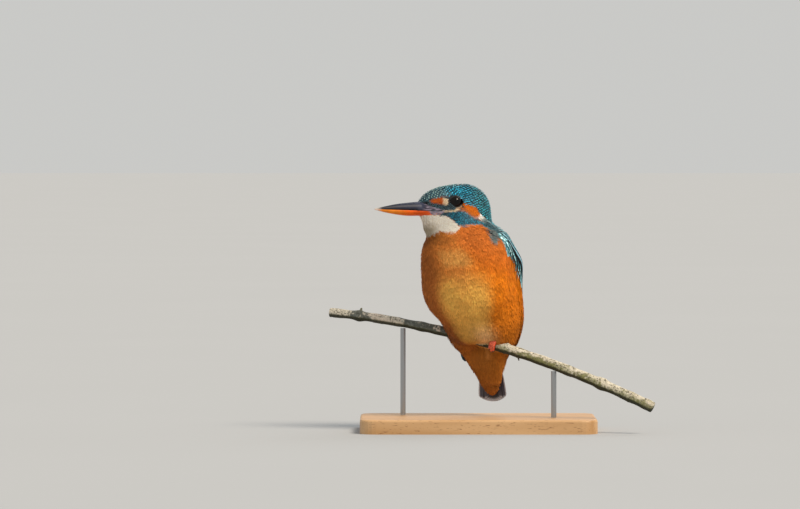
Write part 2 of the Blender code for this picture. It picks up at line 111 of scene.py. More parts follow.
def add(tree, kind, links=None, **settings):
    """One shader node. settings are its own properties, and links fills its inputs."""
    made = tree.nodes.new("ShaderNode" + kind)
    for key, value in settings.items():
        setattr(made, key, value)
    for key, value in (links or {}).items():
        feed(tree, value, made.inputs[key])
    return made


def finish(name, **values):
    """A new material with its tree and its Principled shader, whose sockets take the values."""
    made = bpy.data.materials.new(name)
    made.use_nodes = True
    shader = made.node_tree.nodes["Principled BSDF"]
    for key, value in values.items():
        shader.inputs[key.replace("_", " ")].default_value = value
    return made, made.node_tree, shader


def dress(tree, shader, colour=None, tone=None, height=None, strength=0.5, distance=0.0001, invert=False):
    """Links the base colour, which is the mesh's own Ground colour unless one is given, times tone, and a
    relief that is height times distance in metres."""
    colour = colour or add(tree, "VertexColor", layer_name="Ground")
    if tone:
        colour = add(tree, "VectorMath", {0: colour, "Scale": tone}, operation="SCALE")
    feed(tree, colour, shader.inputs["Base Color"])
    if height:
        inputs = {"Height": height, "Strength": strength, "Distance": distance}
        feed(tree, add(tree, "Bump", inputs, invert=invert), shader.inputs["Normal"])


# %% Floor, world and lights
FLOOR_HALF = 25.0

paper, tree, shader = finish("matt_pale_paper", Roughness=1.0, Specular_IOR_Level=0.0)
place = add(tree, "TexCoord").outputs["Object"]
grain = add(tree, "TexNoise", {"Vector": place, "Scale": 3.0, "Detail": 4.0})
tone = add(tree, "MapRange", {"Value": grain, "To Min": 0.97, "To Max": 1.0})
grey = add(tree, "Mix", {0: tone, 6: (0, 0, 0, 1), 7: (*linear("#aeb1b4"), 1)}, data_type="RGBA")
dress(tree, shader, grey.outputs[2])

sheet = bpy.data.meshes.new("floor")
corners = [(x * FLOOR_HALF, y * FLOOR_HALF, 0) for x, y in ((-1, -1), (1, -1), (1, 1), (-1, 1))]
sheet.from_pydata(corners, [], [(0, 1, 2, 3)])
sheet.materials.append(paper)
floor = bpy.data.objects.new("floor", sheet)
bpy.context.scene.collection.objects.link(floor)

world = bpy.data.worlds.new("pale_room")
bpy.context.scene.world = world
world.use_nodes = True
sky = world.node_tree.nodes["Background"]
sky.inputs["Color"].default_value = (*linear("#efefec"), 1)
sky.inputs["Strength"].default_value = 0.68

LIGHTS = {  # where it comes from, how wide it looks in degrees, strength, colour
    "key": ((0.70, -0.62, 1.15), 22.0, 2.9, "#fff0dc"),
    "rim": ((0.5, 0.8, 0.9), 40.0, 0.7, "#ffffff"),
}
for name, (spot, width, power, colour) in LIGHTS.items():
    lamp = bpy.data.lights.new(name, "SUN")
    lamp.angle, lamp.energy, lamp.color = math.radians(width), power, linear(colour)
    obj = bpy.data.objects.new(name, lamp)
    away = unit(np.array(spot))
    obj.location = away
    obj.rotation_euler = (0, math.acos(away[2]), math.atan2(away[1], away[0]))
    bpy.context.scene.collection.objects.link(obj)
bpy.context.scene.view_settings.view_transform = "Standard"
print("lights:", len(LIGHTS))

# %% [markdown]
# ## The body as one smooth volume
# The construction model is made from ellipsoids that melt into each other, with rays that leave a spine
# and stop at the edge of that volume. The same functions are used here, so that skin and feathers lie
# exactly where the solids are. Lengths are millimetres in the bird's own axes: forward, left and up from
# the middle of the perch.

# %% Pose and body sizes, the same as the solids'
PERCH_HEIGHT = 52.0
SIDES = {"left": 1, "right": -1}
HEADING, ROLL = math.radians(28.0), math.radians(4.0)
HEAD_TURN, HEAD_PITCH = math.radians(-40.0), math.radians(1.5)
HEAD_CENTRE = np.array([11.0, -5.5, 72.5])
BODY_LUMPS = {  # centre, half lengths, lean in degrees
    "breast": ((9.5, 0, 45.5), (18.5, 26.0, 23.0), 0),
    "belly": ((6.2, -1.7, 30.0), (20.5, 26.2, 24.5), 0),
    "lower_belly": ((3.5, -1.5, 8.0), (11.0, 15.0, 11.0), 0),
    "back": ((-5, 0, 36.0), (18.0, 22.5, 30.0), 6),
    "rump": ((-12, -2, 0.0), (8, 15.0, 21.0), 4),
    "undertail": ((-12.5, -0.8, -15.0), (5.0, 7.6, 17.5), 8),
    "flank_left": ((-7, 11.0, 13.0), (13, 11.6, 22.0), 0),
    "flank_right": ((-7, -12.3, 15.0), (13, 11.5, 22.0), 0),
    "shoulders": ((0, -1, 53), (15, 18.5, 12), 0),
    "neck": ((6, -3.5, 60), (14.5, 14, 15), 0),
}
HEAD_LUMPS = {
    "cranium": ((-4.5, 0, 1.2), (15.5, 12.0, 12.8), 0),
    "crown_back": ((-8.5, 0, 0.6), (12.2, 11.2, 11.2), 0),
    "brow": ((8.4, 0, 3.0), (11.6, 6.6, 9.2), -14),
    "face": ((11.0, 0, 0.8), (8.6, 4.3, 5.4), 0),
    "cheek_left": ((-2.5, 4.6, -4.5), (12.0, 7.6, 8.0), 0),
    "cheek_right": ((-2.5, -4.6, -4.5), (12.0, 7.6, 8.0), 0),
    "nape": ((-8, 0, -5), (11.0, 11.5, 12.5), 0),
    "throat": ((6.8, 0, -8.6), (10.4, 6.6, 6.4), -8),
}
BLEND, REACH, HALVINGS = 6.0, 60.0, 20
SPINE = np.array(
    [[9, -5, 73], [7, -3.5, 62], [3, 0, 47], [0, 0, 30], [-3.5, 0, 12], [-9, 0, -5], [-12.5, 0, -20.0]]
)

# %% The volume and its surface


def axes(yaw, pitch):
    """Forward, left and up of a frame turned about up, then raised at its front, as columns."""
    flat = math.cos(pitch)
    forward = np.array([math.cos(yaw) * flat, math.sin(yaw) * flat, math.sin(pitch)])
    left = np.array([-math.sin(yaw), math.cos(yaw), 0.0])
    return np.stack([forward, left, np.cross(forward, left)], axis=1)


HEAD_AXES = axes(HEAD_TURN, HEAD_PITCH)


def from_head(points):
    """Points of the head's axes in the bird's: the head's centre plus their turned offsets."""
    return HEAD_CENTRE + np.asarray(points, float) @ HEAD_AXES.T


def to_head(points):
    """Points of the bird's axes in the head's: their offsets from its centre, turned back."""
    return (points - HEAD_CENTRE) @ HEAD_AXES


def from_bird(points):
    """World millimetres of points in the bird's axes: turned by its heading and its slight roll."""
    forward = np.array([-math.sin(HEADING), -math.cos(HEADING), 0.0])
    side = np.array([math.cos(HEADING), -math.sin(HEADING), 0.0])
    up = np.array([0.0, 0.0, 1.0])
    left = math.cos(ROLL) * side + math.sin(ROLL) * up
    top = math.cos(ROLL) * up - math.sin(ROLL) * side
    return np.asarray(points, float) @ np.stack([forward, left, top]) + [0, 0, PERCH_HEIGHT]


LUMPS = [(np.array(c, float), axes(0, -math.radians(lean)), h) for c, h, lean in BODY_LUMPS.values()]
LUMPS += [
    (from_head(c), HEAD_AXES @ axes(0, math.radians(lean)), h) for c, h, lean in HEAD_LUMPS.values()
]


def depth(points):
    """About how far outside the body each point is: ellipsoid distances joined by a smooth minimum."""
    total = None
    for centre, turn, half in LUMPS:
        local = (points - centre) @ (turn / half)
        reach = np.sqrt(np.einsum("...i,...i", local, local))
        local /= half
        slope = np.sqrt(np.einsum("...i,...i", local, local))
        each = reach * (reach - 1) / np.maximum(slope, 1e-9)
        if total is None:
            total = each
            continue
        mix = np.clip(0.5 + 0.5 * (total - each) / BLEND, 0, 1)
        total = total * (1 - mix) + each * mix - BLEND * mix * (1 - mix)
    return total


def outward(points, step=0.05):
    """Unit normals of the volume, from the slope of depth along each axis."""
    shifts = np.eye(3) * step
    return unit(np.stack([depth(points + s) - depth(points - s) for s in shifts], axis=-1))


def along(values, place):
    """Catmull-Rom curve through evenly spaced values, read at places from 0 to 1."""
    values = np.asarray(values, float)
    if values.ndim == 1:
        return along(values[:, None], place)[..., 0]
    last = len(values) - 1
    spot = np.clip(place, 0, 1) * last
    cell = np.minimum(spot.astype(int), last - 1)
    t = (spot - cell)[..., None]
    ends = np.vstack([2 * values[0] - values[1], values, 2 * values[-1] - values[-2]])
    a, b, c, d = ends[cell], ends[cell + 1], ends[cell + 2], ends[cell + 3]
    bend = (2 * a - 5 * b + 4 * c - d) * t**2 + (-a + 3 * b - 3 * c + d) * t**3
    return 0.5 * (2 * b + (c - a) * t + bend)


def surface(place, angle, rise=0.0, proud=0.0):
    """Where a ray from the spine meets the volume grown by proud. place runs 0 to 1 from head to tail,
    angle goes round from the front to the left, and rise tips the ray towards the head. The edge is found
    by halving the ray's length again and again."""
    place, angle, rise, proud = np.broadcast_arrays(*np.atleast_1d(place, angle, rise, proud))
    ease = place**2 * (3 - 2 * place)
    tail_axis = unit(SPINE[-2] - SPINE[-1])
    normal = unit((1 - ease)[..., None] * np.array([0, 0, 1.0]) + ease[..., None] * tail_axis)
    yaw = HEAD_TURN * (1 - np.clip(2.5 * place, 0, 1))
    front = np.stack([np.cos(yaw), np.sin(yaw), np.zeros_like(yaw)], axis=-1)
    front = unit(front - (front * normal).sum(-1, keepdims=True) * normal)
    left = np.cross(normal, front)
    ray = turned(turned(front, left, angle), normal, rise)
    start = along(SPINE, place)
    near, far = np.zeros(place.shape), np.full(place.shape, REACH)
    for _ in range(HALVINGS):
        middle = (near + far) / 2
        inside = depth(start + ray * middle[..., None]) < proud
        near, far = np.where(inside, middle, near), np.where(inside, far, middle)
    return start + ray * near[..., None]


def smooth(value, low=0.0, high=1.0):
    """0 below low, 1 above high, and an S-curve between them."""
    t = np.clip((value - low) / (high - low), 0, 1)
    return t * t * (3 - 2 * t)


print("edge check, should be near 0:", float(np.abs(depth(surface(0.5, np.linspace(0, 6, 9)))).max()))

# %% [markdown]
# ## Putting arrays into meshes
# Blender reads flat arrays much faster than lists of tuples. This helper takes points in millimetres in
# the bird's axes, faces of four corners, and whatever runs over the surface: colours, a pattern map and
# the flat map used for baking.

# %% One mesh from arrays


def build(name, points, faces, item, vane=None, bake=None, colours=None, in_bird=True):
    """A piece from arrays: points (n, 3) and faces (m, 4), where a face whose last two corners agree is a
    triangle. vane and bake are maps, (n, 2) by point or (m, 4, 2) by face corner, and colours is a
    dictionary of (n, 3) linear colours."""
    points = np.asarray(points, float).reshape(-1, 3)
    faces = np.asarray(faces, np.int32).reshape(-1, 4)
    world_points = (from_bird(points) if in_bird else points) * MM
    sizes = np.where(faces[:, 3] == faces[:, 2], 3, 4).astype(np.int32)
    corners = faces[np.arange(4) < sizes[:, None]]
    mesh = bpy.data.meshes.new(name)
    mesh.vertices.add(len(points))
    mesh.vertices.foreach_set("co", world_points.astype(np.float32).ravel())
    mesh.loops.add(len(corners))
    mesh.loops.foreach_set("vertex_index", corners)
    mesh.polygons.add(len(faces))
    mesh.polygons.foreach_set("loop_start", np.concatenate([[0], np.cumsum(sizes)[:-1]]).astype(np.int32))
    mesh.update(calc_edges=True)
    for label, values in (("Vane", vane), ("OFBake", bake)):
        if values is not None:
            values = np.asarray(values, np.float32)
            cornered = values[np.arange(4) < sizes[:, None]] if values.ndim == 3 else values[corners]
            mesh.uv_layers.new(name=label).data.foreach_set("uv", cornered.ravel())
    for label, values in (colours or {}).items():
        layer = mesh.color_attributes.new(label, "FLOAT_COLOR", "POINT")
        values = np.asarray(values, np.float32).reshape(-1, 3)
        layer.data.foreach_set("color", np.column_stack([values, np.ones(len(values))]).ravel())
    mesh.materials.append(item)
    mesh.shade_smooth()
    mesh.validate()
    obj = bpy.data.objects.new(name, mesh)
    bpy.context.scene.collection.objects.link(obj)
    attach(obj, "root")
    print(f"{name}: {int((sizes - 2).sum())} triangles")
    return obj


def grid_faces(rows, columns, wrap=False):
    """Corners of the cells of a grid of points, joined round its columns if wrap is true."""
    row, column = np.meshgrid(np.arange(rows - 1), np.arange(columns if wrap else columns - 1), indexing="ij")
    after = (column + 1) % columns
    first, second = row * columns + column, row * columns + after
    return np.stack([second, first, first + columns, second + columns], axis=-1).reshape(-1, 4)


def tube_faces(rows, columns):
    """Faces of a closed tube whose points are rows of rings, then a first and a last end point, with the
    (m, 4, 2) map of the same faces: round the tube from 0 to 1, and along it from 0 to 1."""
    sides = grid_faces(rows, columns, wrap=True)
    i = np.arange(columns)
    after, last = (i + 1) % columns, (rows - 1) * columns
    top, bottom = np.full(columns, rows * columns), np.full(columns, rows * columns + 1)
    first_fan, last_fan = (i, after, top, top), (last + after, last + i, bottom, bottom)
    faces = np.vstack([sides, np.stack(first_fan, axis=1), np.stack(last_fan, axis=1)])
    row, column = sides[:, 1] // columns, sides[:, 1] % columns
    v, step = (row + 0.5) / rows, 1 / rows
    around = np.stack([column + 1, column, column, column + 1], axis=1) / columns
    length = np.stack([v, v, v + step, v + step], axis=1)
    first_turn = np.stack([i, i + 1, i + 0.5, i + 0.5], axis=1) / columns
    last_turn = np.stack([i + 1, i, i + 0.5, i + 0.5], axis=1) / columns
    heights = np.array([0.5 * step, 0.5 * step, 0, 0]) * np.ones((columns, 1))
    pairs = [(around, length), (first_turn, heights), (last_turn, 1 - heights)]
    return faces, np.vstack([np.stack(pair, axis=-1) for pair in pairs])


def repeat_faces(faces, count, stride):
    """The faces of one small shape, repeated for count copies with stride points each."""
    return (faces[None] + stride * np.arange(count)[:, None, None]).reshape(-1, 4)


def fitted(flat):
    """A flat map moved and stretched to fill the unit square, less a margin of 0.02 all round."""
    return 0.02 + 0.96 * (flat - flat.min(0)) / np.ptp(flat, axis=0)

# %% [markdown]
# ## Markings
# A kingfisher is blue-green above and orange below. The face carries the fine drawing: an orange lore
# with a buff spot before the eye, a dark line under it, a pale line below the eye, an orange ear patch
# that ends in white, a blue-green stripe from the gape, and a cream throat. Each mark is a small outline
# in side view of the head, forward and up in millimetres, with a soft edge. The same functions colour the
# skin and every feather, so nothing shifts between them.

# %% Outlines of the face
CROWN = (
    (20.5, 4.7), (18.8, 4.8), (16.8, 4.9), (15.6, 5.8), (11.8, 6.7), (7.7, 7.4), (5.8, 7.1), (3.7, 7.0),
    (1.2, 7.3), (-1.6, 5.9), (-2.7, 3.1), (-5.1, 2.3), (-8.0, 1.5), (-10.4, -0.2), (-11.5, -3.0),
    (-15.2, -5.5), (-18.4, -6.6), (-19.5, -9.5), (-34, -11), (-34, 30), (26, 30),
)
FACE = ((21, 5.4), (10, 7.5), (-2.8, 6.5), (-3.0, 0.0), (9.0, -1.4), (21, -1.6))
LORE = (
    (15.9, 5.0), (13.7, 6.1), (10.5, 6.8), (8.1, 6.6), (8.6, 3.3), (8.9, 2.6), (10.1, 2.9), (12.7, 3.4),
    (14.9, 3.5),
)
BUFF_SPOT = ((8.3, 6.6), (6.5, 6.0), (5.7, 4.6), (6.3, 3.0), (7.9, 2.1), (8.9, 3.3), (8.9, 5.2))
PALE_LINE = (
    (10.0, -0.4), (4.3, -0.6), (1.2, 0.2), (-0.7, 1.4), (-1.1, 2.9), (-1.9, 2.4), (-1.3, 0.4), (0.9, -1.0),
    (4.4, -1.6), (9.7, -1.5),
)
EAR_PATCH = (
    (-1.0, 2.3), (-2.9, 2.4), (-7.0, 1.1), (-9.9, -1.2), (-11.2, -3.3), (-9.8, -4.3), (-6.2, -2.7),
    (-3.4, -0.7), (-1.2, 0.9),
)
WHITE_PATCH = ((-9.0, -5.1), (-11.3, -3.3), (-13.9, -5.0), (-17.6, -7.6), (-14.3, -8.0), (-11.3, -6.8))
MALAR = (
    (10.0, -1.5), (7.3, -1.5), (3.6, -1.4), (0.0, -1.0), (-2.7, -1.8), (-4.9, -3.7), (-8.7, -5.6),
    (-14.0, -8.0), (-19, -9.2), (-19, -15), (-13.5, -11.4), (-9.2, -9.6), (-7.1, -9.2), (-3.3, -9.6),
    (0.2, -10.1), (2.9, -9.1), (4.5, -6.8), (6.5, -4.8), (8.8, -3.5), (10.4, -3.2),
)
THROAT = (
    (21, -3.0), (16.5, -3.0), (10.6, -3.2), (8.7, -3.8), (6.4, -5.0), (4.4, -7.0), (2.7, -9.4), (0.8, -10.6),
    (2.6, -11.6), (4.4, -13.4), (6.9, -13.3), (8.4, -12.7), (10.4, -12.4), (13.0, -13.4), (16.0, -15.4),
    (24, -14),
)
CHIN_DARK = ((10.8, -1.4), (8.0, -1.5), (6.6, -2.6), (8.4, -4.0), (11.2, -3.6))
BROW_SPOT = ((8.6, 9.4), (6.0, 10.4), (3.2, 9.2), (3.6, 8.0), (6.4, 8.2))


def within(flat, outline, soft):
    """1 inside an outline of flat points and 0 outside, easing over soft on both sides of its edge. The
    distance is the least to any side, and a ray to one side tells in from out."""
    corner = np.array(outline, float)
    side = np.roll(corner, -1, axis=0) - corner
    gap = flat[:, None, :] - corner
    t = np.clip((gap * side).sum(-1) / (side**2).sum(-1), 0, 1)
    distance = np.sqrt(((gap - t[..., None] * side) ** 2).sum(-1)).min(-1)
    after = corner + side
    crosses = (corner[:, 1] > flat[:, None, 1]) != (after[:, 1] > flat[:, None, 1])
    slant = np.where(side[:, 1] == 0, 1e-9, side[:, 1])
    ahead = flat[:, None, 0] < corner[:, 0] + side[:, 0] * gap[..., 1] / slant
    inside = (crosses & ahead).sum(-1) % 2 == 1
    return smooth(np.where(inside, distance, -distance), -soft, soft)


def wave(points, size, seed):
    """A soft pattern from -1 to 1 with patches of about size: three crossed sine waves, bent by another."""
    rng = np.random.default_rng(seed)
    turns = unit(rng.normal(size=(4, 3)))
    phase = points @ turns.T * (math.pi / size) + rng.uniform(0, 6, 4)
    bent = phase[..., :3] + 1.3 * np.sin(phase[..., 3:] * 0.7)
    return np.sin(bent).mean(-1) * 1.4


# %% Where blue-green meets orange down the side of the body
FLANK_PLACES = (0.03, 0.13, 0.16, 0.19, 0.25, 0.295, 0.355, 0.39, 0.435, 0.48, 0.555, 0.64, 0.76, 0.885, 1.0)
FLANK_ANGLES = (112, 108, 104, 98, 89, 85.5, 82.5, 89, 97, 107, 120, 129, 128, 116, 108)
STRIPE_EDGE = 167.0  # degrees: beyond it runs the bright stripe down the back
NECK_SIDE = (9.8, 17.0, 63.5), (15.6, 22.2, 54.5)  # a slate-blue tuft hangs from the first to the second


def back_share(place, angle):
    """1 where the body is blue-green above and behind, 0 where it is orange."""
    turn = np.degrees(np.abs((angle + math.pi) % (2 * math.pi) - math.pi))
    edge = np.interp(place, FLANK_PLACES, FLANK_ANGLES)
    return smooth(turn, edge - 2.5, edge + 2.5), turn


COAT = {
    name: linear(code)
    for name, code in {
        "rufous": "#dd8638", "orange": "#ec8308", "amber": "#e8b354", "brown": "#9a5420",
        "shaded_vent": "#a0601c", "cream": "#e9dcc6", "white": "#fffaf0", "buff": "#dcc09a", "lore": "#ab4c1c",
        "ear": "#cc641f", "crown": "#0c4254", "nape": "#0b4650", "mantle": "#164c57", "malar": "#164557",
        "soot": "#1b1a1b", "azure": "#1f9fe0", "sage": "#a6c6b6", "aqua": "#9ccfc8", "cyan": "#2b9fc0",
        "teal": "#23858f", "dull": "#5f7f8c", "slate": "#2c5560", "haze": "#5d8a90", "gold": "#efb05c",
        "rust": "#b8561a", "peach": "#e3b27c", "tan": "#8d7a58",
    }.items()
}


def over(colour, share, name):
    """colour with a named one laid over it by share."""
    return colour * (1 - share[:, None]) + COAT[name] * share[:, None]


def markings(points, place, angle):
    """Ground and mark colours of the plumage at points of the body, and the share of each tract there. The
    ground is a feather's own colour with painted light and shade laid into it, and the mark is what its tip,
    bar or spot has. Each line lays one colour over the last, by a share that eases in and out over a range of
    height or turn."""
    head = to_head(points)
    flat = head[:, [0, 2]]
    ones = np.ones(len(points))
    back, turn = back_share(place, angle)
    height = points[:, 2]
    front = np.cos(angle - math.radians(13))
    ground = over(np.zeros((len(points), 3)), ones, "rufous")
    ground = over(ground, smooth(wave(points, 9, 3), -0.2, 1.2) * 0.15, "brown")
    # painted shade: browner on the bird's right side, which is turned away from the light
    ground = over(ground, smooth(-np.sin(angle), 0.0, 0.55) * 0.8, "brown")
    # a brighter orange on the left flank: partly the flank's own colour, partly painted light where the light
    # falls
    ground = over(ground, smooth(np.sin(angle), 0.2, 0.75) * smooth(-height, -58, -36) * 0.95, "orange")
    centre = smooth(front, 0.74, 0.97) * smooth(-height, -43, -27) * smooth(height, -9, 3)
    ground = over(ground, centre * (0.85 + 0.1 * wave(points, 8, 5)).clip(0, 1), "amber")
    side = smooth(np.sin(angle), 0.4, 0.75)
    ground = over(ground, side * smooth(height, 30, 44) * 0.5, "rust")
    # painted shade: darker towards the bottom of the body, and lower down on the left flank, where less light
    # reaches
    shade = (1 - 0.45 * smooth(-height, -24, 3)) * (1 - 0.22 * side * smooth(-height, -50, -12))
    ground = ground * shade[:, None]
    # painted shadow: the breast darker just under the front of the throat, where the throat's lower edge
    # shades it
    crease = smooth(head[:, 0], 3, 13) * smooth(-head[:, 2], 10, 13) * smooth(head[:, 2], -23, -15)
    ground = ground * (1 - 0.5 * crease)[:, None]
    peach = np.exp(-(((angle - 0.55) / 0.30) ** 2)) * smooth(-height, -13, -2) * smooth(height, -12, -5)
    ground = over(ground, peach * 0.75, "peach")
    # darker towards the tail: the vent's own deeper rufous, and also painted shade under the body
    ground = over(ground, smooth(-height, -2, 10) * 0.85, "shaded_vent")
    ground = over(ground, smooth(-height, 18, 30) * 0.35, "brown")
    mark = ground * 1.2 + 0.006
    streaks = smooth(np.cos(angle - math.radians(12)), 0.90, 0.985) * smooth(-height, -53, -48)
    streaks = streaks * smooth(height, 40, 44)
    ground, mark = over(ground, streaks * 0.25, "gold"), over(mark, streaks * 0.85, "gold")
    azure = smooth(turn, STRIPE_EDGE - 4, STRIPE_EDGE + 2) * smooth(place, 0.22, 0.34)
    for name, tip, share in (("mantle", "teal", back), ("azure", "aqua", azure)):
        ground, mark = over(ground, share, name), over(mark, share, tip)
    neck = smooth(head[:, 2], -24, -15)
    shares = {}
    for name, outline, tint, tip, soft in (
        ("face", FACE, "soot", "dull", 0.5),
        ("malar", MALAR, "malar", "cyan", 0.5),
        ("throat", THROAT, "cream", "white", 0.35),
        ("crown", CROWN, "crown", "cyan", 0.4),
        ("lore", LORE, "lore", "ear", 0.35),
        ("chin", CHIN_DARK, "soot", "dull", 0.4),
        ("pale", PALE_LINE, "buff", "cream", 0.25),
        ("ear", EAR_PATCH, "ear", "orange", 0.35),
        ("white", WHITE_PATCH, "white", "white", 0.35),
        ("buff", BUFF_SPOT, "buff", "cream", 0.35),
    ):
        share = within(flat, outline, soft) * neck
        shares[name] = share
        ground, mark = over(ground, share, tint), over(mark, share, tip)
    forehead = smooth(head[:, 0], 4, 11) * shares["crown"]
    ridge = smooth(1 - np.abs(head[:, 1]) / 6.5, 0, 0.7) * shares["crown"] * smooth(head[:, 0], -12, 0)
    nape = smooth(-head[:, 0], 4, 13) * shares["crown"]
    mark = over(mark, ridge * 0.8, "aqua")
    mark = over(mark, forehead * 0.95, "sage")
    ground = over(ground, forehead * 0.4, "dull")
    mark = over(mark, nape * 0.85, "teal")
    ground = over(ground, nape * 0.8, "nape")
    ground = over(ground, within(flat, BROW_SPOT, 0.8) * neck * 0.7, "dull")
    shadow = shares["throat"] * smooth(head[:, 0], 10, 16) * smooth(-head[:, 2], 5, 12) * 0.75
    ground, mark = over(ground, shadow, "tan"), over(mark, shadow, "tan")
    rear = smooth(-head[:, 0], 4, 12) * shares["malar"]
    ground = over(ground, rear * 0.35, "dull")
    start, end = np.array(NECK_SIDE)
    t = np.clip((points - start) @ (end - start) / ((end - start) @ (end - start)), 0, 1)
    off = np.linalg.norm(points - start - t[:, None] * (end - start), axis=1)
    fuzz = smooth(4.9 - 2.0 * t - off, -1.0, 1.0)
    ground, mark = over(ground, fuzz * 0.92, "slate"), over(mark, fuzz * 0.85, "haze")
    shares["back"] = back * (1 - np.max(list(shares.values()), axis=0))
    shares["azure"] = azure
    return ground.clip(0, 1), mark.clip(0, 1), shares


probe = np.array([0.0, 0.4, 0.5]), np.array([0.0, 0.4, 3.0])
print("ground colours at three places:", np.round(markings(surface(*probe), *probe)[0], 2).tolist())

# %% [markdown]
# ## Skin
# Under the feathers lies one closed skin from the crown to the tail root. It is the same volume, drawn in
# by the depth of the coat: under a millimetre on the face, almost two on the breast. Its two parameters
# are how far down the body a point lies and how far round, and those two are also its flat map.

# %% Skin parameters
HEAD_CAP, TAIL_CAP = 0.24, 0.95  # shares of the length parameter given to the two rounded ends
FACE_DEPTH, BODY_DEPTH = 0.7, 1.8


def body_spot(v):
    """Place on the spine and tilt of the ray for the length parameter v, 0 at the crown, 1 at the tail."""
    place = np.clip((v - HEAD_CAP) / (TAIL_CAP - HEAD_CAP), 0, 1)
    rise = math.pi / 2 * (np.clip(1 - v / HEAD_CAP, 0, 1) - np.clip((v - TAIL_CAP) / (1 - TAIL_CAP), 0, 1))
    return place, rise


def body_point(v, u):
    """The body's surface at v down its length and u of the way round."""
    place, rise = body_spot(v)
    return surface(place, 2 * math.pi * u, rise)


def coat_depth(points):
    """Depth of the plumage over the skin: thin on the face, deep on the breast and belly."""
    away = np.linalg.norm((to_head(points) - [6, 0, 0]) / [1.0, 1.0, 1.2], axis=-1)
    return FACE_DEPTH + (BODY_DEPTH - FACE_DEPTH) * smooth(away, 14, 30)


# %% Where the eyes sit
EYE_RADIUS, EYE_DEPTH = 3.9, 2.6
EYE_FROM, EYE_AXIS = np.array([0.8, 0, 3.5]), np.array([0.10, 1.0, 0.06])
LID_OPENING = 2.95  # half the opening between the lids, up and down
SOCKET_DEPTH = 3.0  # how much deeper the skin lies behind an eye


def eye_place(sign):
    """The eyeball's middle and the axis it looks along, in the bird's axes."""
    turn = HEAD_AXES @ unit(EYE_AXIS * [1, sign, 1])
    start = from_head(EYE_FROM)
    reach = np.linspace(0, 20, 2001)
    out = reach[np.argmax(depth(start + turn * reach[:, None]) > 0)]
    return start + turn * (out - EYE_DEPTH), turn


EYES = {"left": eye_place(1), "right": eye_place(-1)}


def from_eye(points):
    """Each point's distance from the nearer eye's axis, counted only on the eye's own side."""
    found = np.full(len(points), 99.0)
    for middle, axis in EYES.values():
        gap = points - middle
        far = gap @ axis
        aside = np.linalg.norm(gap - far[:, None] * axis, axis=1)
        found = np.minimum(found, np.where(far > -3, aside, 99.0))
    return found


# %% The skin itself
SKIN_ROWS, SKIN_COLUMNS = 380, 240

# The rows lie closer on the head, which has the finest marks.
v = np.interp(np.linspace(0.002, 0.999, SKIN_ROWS), [0, 0.2, 0.62, 1], [0, 0.2, 0.46, 1])
vv, uu = (a.ravel() for a in np.meshgrid(v, np.arange(SKIN_COLUMNS) / SKIN_COLUMNS, indexing="ij"))
vv, uu = np.append(vv, [0, 1]), np.append(uu, [0, 0])
shell = body_point(vv, uu)
normal = outward(shell)
inset = coat_depth(shell) + SOCKET_DEPTH * smooth(-from_eye(shell), -3.7, -3.1)
skin_points = shell - normal * inset[:, None]
place, _ = body_spot(vv)
ground = markings(shell, place, 2 * math.pi * uu)[0]
faces, flat_map = tube_faces(SKIN_ROWS, SKIN_COLUMNS)

skin_finish, tree, shader = finish("down_on_skin", Roughness=0.9)
tint = add(tree, "VertexColor", layer_name="Ground")
spot = add(tree, "TexCoord").outputs["Object"]
fluff = add(tree, "TexNoise", {"Vector": spot, "Scale": 2600.0, "Detail": 3.0})
shade = add(tree, "MapRange", {"Value": fluff, "To Min": 0.35, "To Max": 0.8})
dark = add(tree, "Mix", {0: shade, 6: (0, 0, 0, 1), 7: tint}, data_type="RGBA").outputs[2]
dress(tree, shader, dark, height=fluff, distance=0.0002)

skin = build(
    "skin", skin_points, faces, skin_finish, bake=flat_map, colours={"Ground": ground}
)
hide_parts("head", "neck", "trunk", "tail")
print("skin inset, mm:", round(float(inset.min()), 2), "to", round(float(inset.max()), 2))

# %% [markdown]
# ## Rows of feathers
# Feathers grow in rows, each row set half a step aside from the one above, so every tip covers the gap
# between two roots. The rows are counted from the crown: on each meridian of the skin the length along
# the surface is measured, and a root is placed at every step of it. Each root gets the surface's normal
# and the lie of the coat there: away from the bill on the head, and down the spine on the body.

# %% Lengths along the meridians
TABLE_ROWS, TABLE_COLUMNS = 260, 180

table_v = np.linspace(0, 1, TABLE_ROWS)
table_u = np.arange(TABLE_COLUMNS + 1) / TABLE_COLUMNS
table = body_point(*np.meshgrid(table_v, table_u, indexing="ij"))
steps = np.linalg.norm(np.diff(table, axis=0), axis=-1)
run = np.vstack([np.zeros(TABLE_COLUMNS + 1), np.cumsum(steps, axis=0)])  # mm from the crown
print("longest meridian, mm:", round(float(run[-1].max()), 1))


